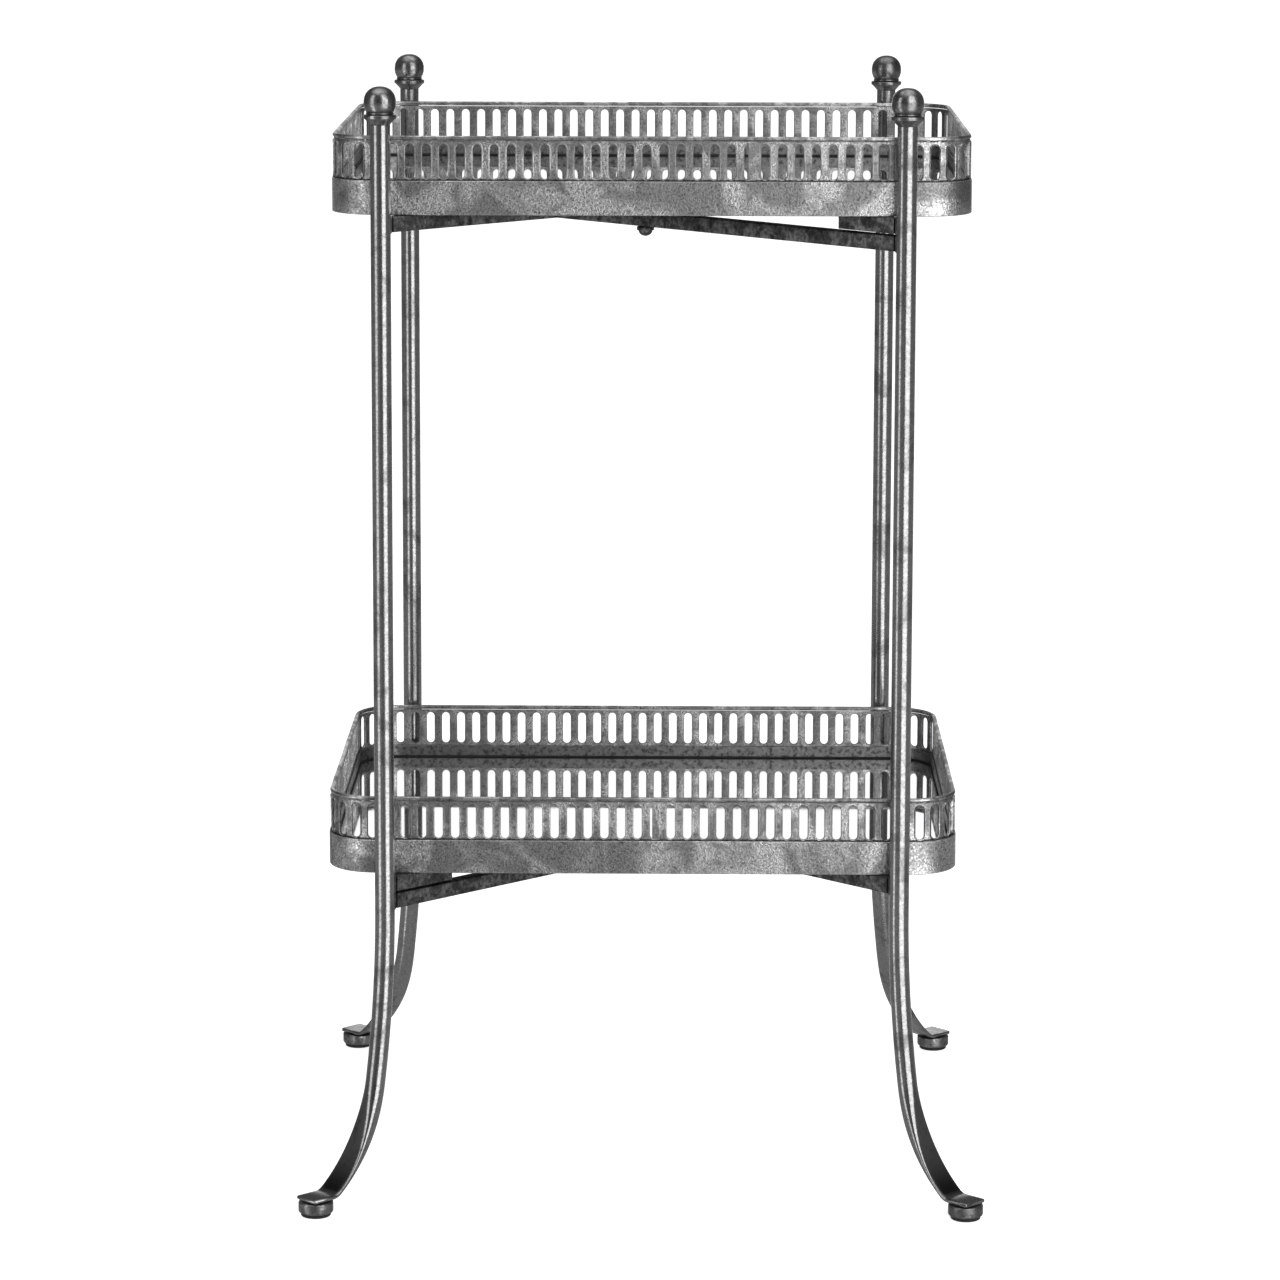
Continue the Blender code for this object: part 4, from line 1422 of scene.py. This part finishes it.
def studio_world(room):
    """White behind the table, dim to the sides and towards the viewer, soft light from above."""
    world = bpy.data.worlds.new("studio")
    world.use_nodes = True
    bpy.context.scene.world = world
    tree = world.node_tree
    tree.nodes.clear()
    way = put(tree, "ShaderNodeTexCoord").outputs["Generated"]
    parts = put(tree, "ShaderNodeSeparateXYZ", ((0, way),))
    back_card = stretch(tree, parts.outputs["Y"], 0.90, 0.96, 0.0, 1.15)
    above = stretch(tree, parts.outputs["Z"], 0.70, 0.95, 0.0, 1.3)
    below = stretch(tree, parts.outputs["Z"], -0.22, 0.0, 0.25, 0.0)
    viewer = stretch(tree, parts.outputs["Y"], -0.99, -0.93, 0.60, 1.0)
    dim_room = maths(tree, "MULTIPLY", maths(tree, "ADD", below, room), viewer)
    level = maths(tree, "ADD", maths(tree, "MAXIMUM", back_card, above), dim_room)
    lit = put(tree, "ShaderNodeBackground", (("Strength", level),))
    seen = put(tree, "ShaderNodeBackground", (("Strength", 1.0),))
    rays = put(tree, "ShaderNodeLightPath").outputs["Is Camera Ray"]
    pick = put(tree, "ShaderNodeMixShader", ((0, rays), (1, lit.outputs[0]), (2, seen.outputs[0])))
    put(tree, "ShaderNodeOutputWorld", (("Surface", pick.outputs[0]),))


def add_camera():
    """Long lens a little above the upper tray, looking slightly down."""
    lens = bpy.data.cameras.new("studio_camera")
    lens.lens = LENS
    lens.sensor_width = 36.0
    lens.shift_y = LENS_SHIFT
    lens.clip_end = 200.0
    made = bpy.data.objects.new("studio_camera", lens)
    bpy.context.scene.collection.objects.link(made)
    heading = Matrix.Rotation(CAMERA_HEADING, 4, "Z")
    pitch = Matrix.Rotation(QUARTER_TURN - CAMERA_DOWN, 4, "X")
    roll = Matrix.Rotation(CAMERA_ROLL, 4, "Z")
    made.matrix_world = Matrix.Translation(CAMERA_SPOT) @ heading @ pitch @ roll
    bpy.context.scene.camera = made


class TRAYTABLE_OT_stage(bpy.types.Operator):
    """Set the pale floor, the soft studio light and the camera"""

    bl_idname = "tray_table.stage"
    bl_label = "Stage"

    def execute(self, context):
        settings = context.scene.tray_table_stage
        bm = bmesh.new()
        bmesh.ops.create_grid(bm, x_segments=8, y_segments=8, size=settings.floor_size / 2)
        floor = bpy.data.objects.new("studio_floor", finished_mesh("studio_floor", bm))
        context.scene.collection.objects.link(floor)
        floor.location.z = -FLOOR_DROP
        floor.data.materials.append(floor_finish(tuple(settings.floor_colour)))
        floor.visible_glossy = False
        studio_world(settings.room_light)
        for name, (spot, aim, width, height, share) in SOFT_BOXES.items():
            soft_box(name, spot, aim, width, height, settings.side_light * share)
        add_camera()
        context.scene.view_settings.view_transform = "Standard"
        return {"FINISHED"}


# ---------------------------------------------------------------------------
# Panel and registration
# ---------------------------------------------------------------------------
STEPS = (
    TRAYTABLE_OT_stage,
    TRAYTABLE_OT_legs,
    TRAYTABLE_OT_finials,
    TRAYTABLE_OT_feet,
    TRAYTABLE_OT_braces,
    TRAYTABLE_OT_pivots,
    TRAYTABLE_OT_bands,
    TRAYTABLE_OT_galleries,
    TRAYTABLE_OT_laps,
    TRAYTABLE_OT_liners,
    TRAYTABLE_OT_rims,
    TRAYTABLE_OT_bases,
)


class TRAYTABLE_PT_panel(bpy.types.Panel):
    """Sidebar panel that lists the steps"""

    bl_idname = "TRAYTABLE_PT_panel"
    bl_label = "Tray Table"
    bl_space_type = "VIEW_3D"
    bl_region_type = "UI"
    bl_category = "Tray Table"

    def draw(self, context):
        for step in STEPS:
            self.layout.operator(step.bl_idname)


SETTINGS = {
    "tray_table_legs": LegSettings,
    "tray_table_finials": FinialSettings,
    "tray_table_trays": TraySettings,
    "tray_table_finish": FinishSettings,
    "tray_table_stage": StageSettings,
}


def register():
    for group in SETTINGS.values():
        bpy.utils.register_class(group)
    for step in STEPS:
        bpy.utils.register_class(step)
    bpy.utils.register_class(TRAYTABLE_PT_panel)
    for name, group in SETTINGS.items():
        setattr(bpy.types.Scene, name, PointerProperty(type=group))


def unregister():
    for name in SETTINGS:
        delattr(bpy.types.Scene, name)
    bpy.utils.unregister_class(TRAYTABLE_PT_panel)
    for step in reversed(STEPS):
        bpy.utils.unregister_class(step)
    for group in reversed(SETTINGS.values()):
        bpy.utils.unregister_class(group)


def main():
    register()
    bpy.ops.tray_table.stage()
    bpy.ops.tray_table.legs()
    bpy.ops.tray_table.finials()
    bpy.ops.tray_table.feet()
    bpy.ops.tray_table.braces()
    bpy.ops.tray_table.pivots()
    bpy.ops.tray_table.bands()
    bpy.ops.tray_table.galleries()
    bpy.ops.tray_table.laps()
    bpy.ops.tray_table.liners()
    bpy.ops.tray_table.rims()
    bpy.ops.tray_table.bases()


if __name__ == "__main__":
    main()
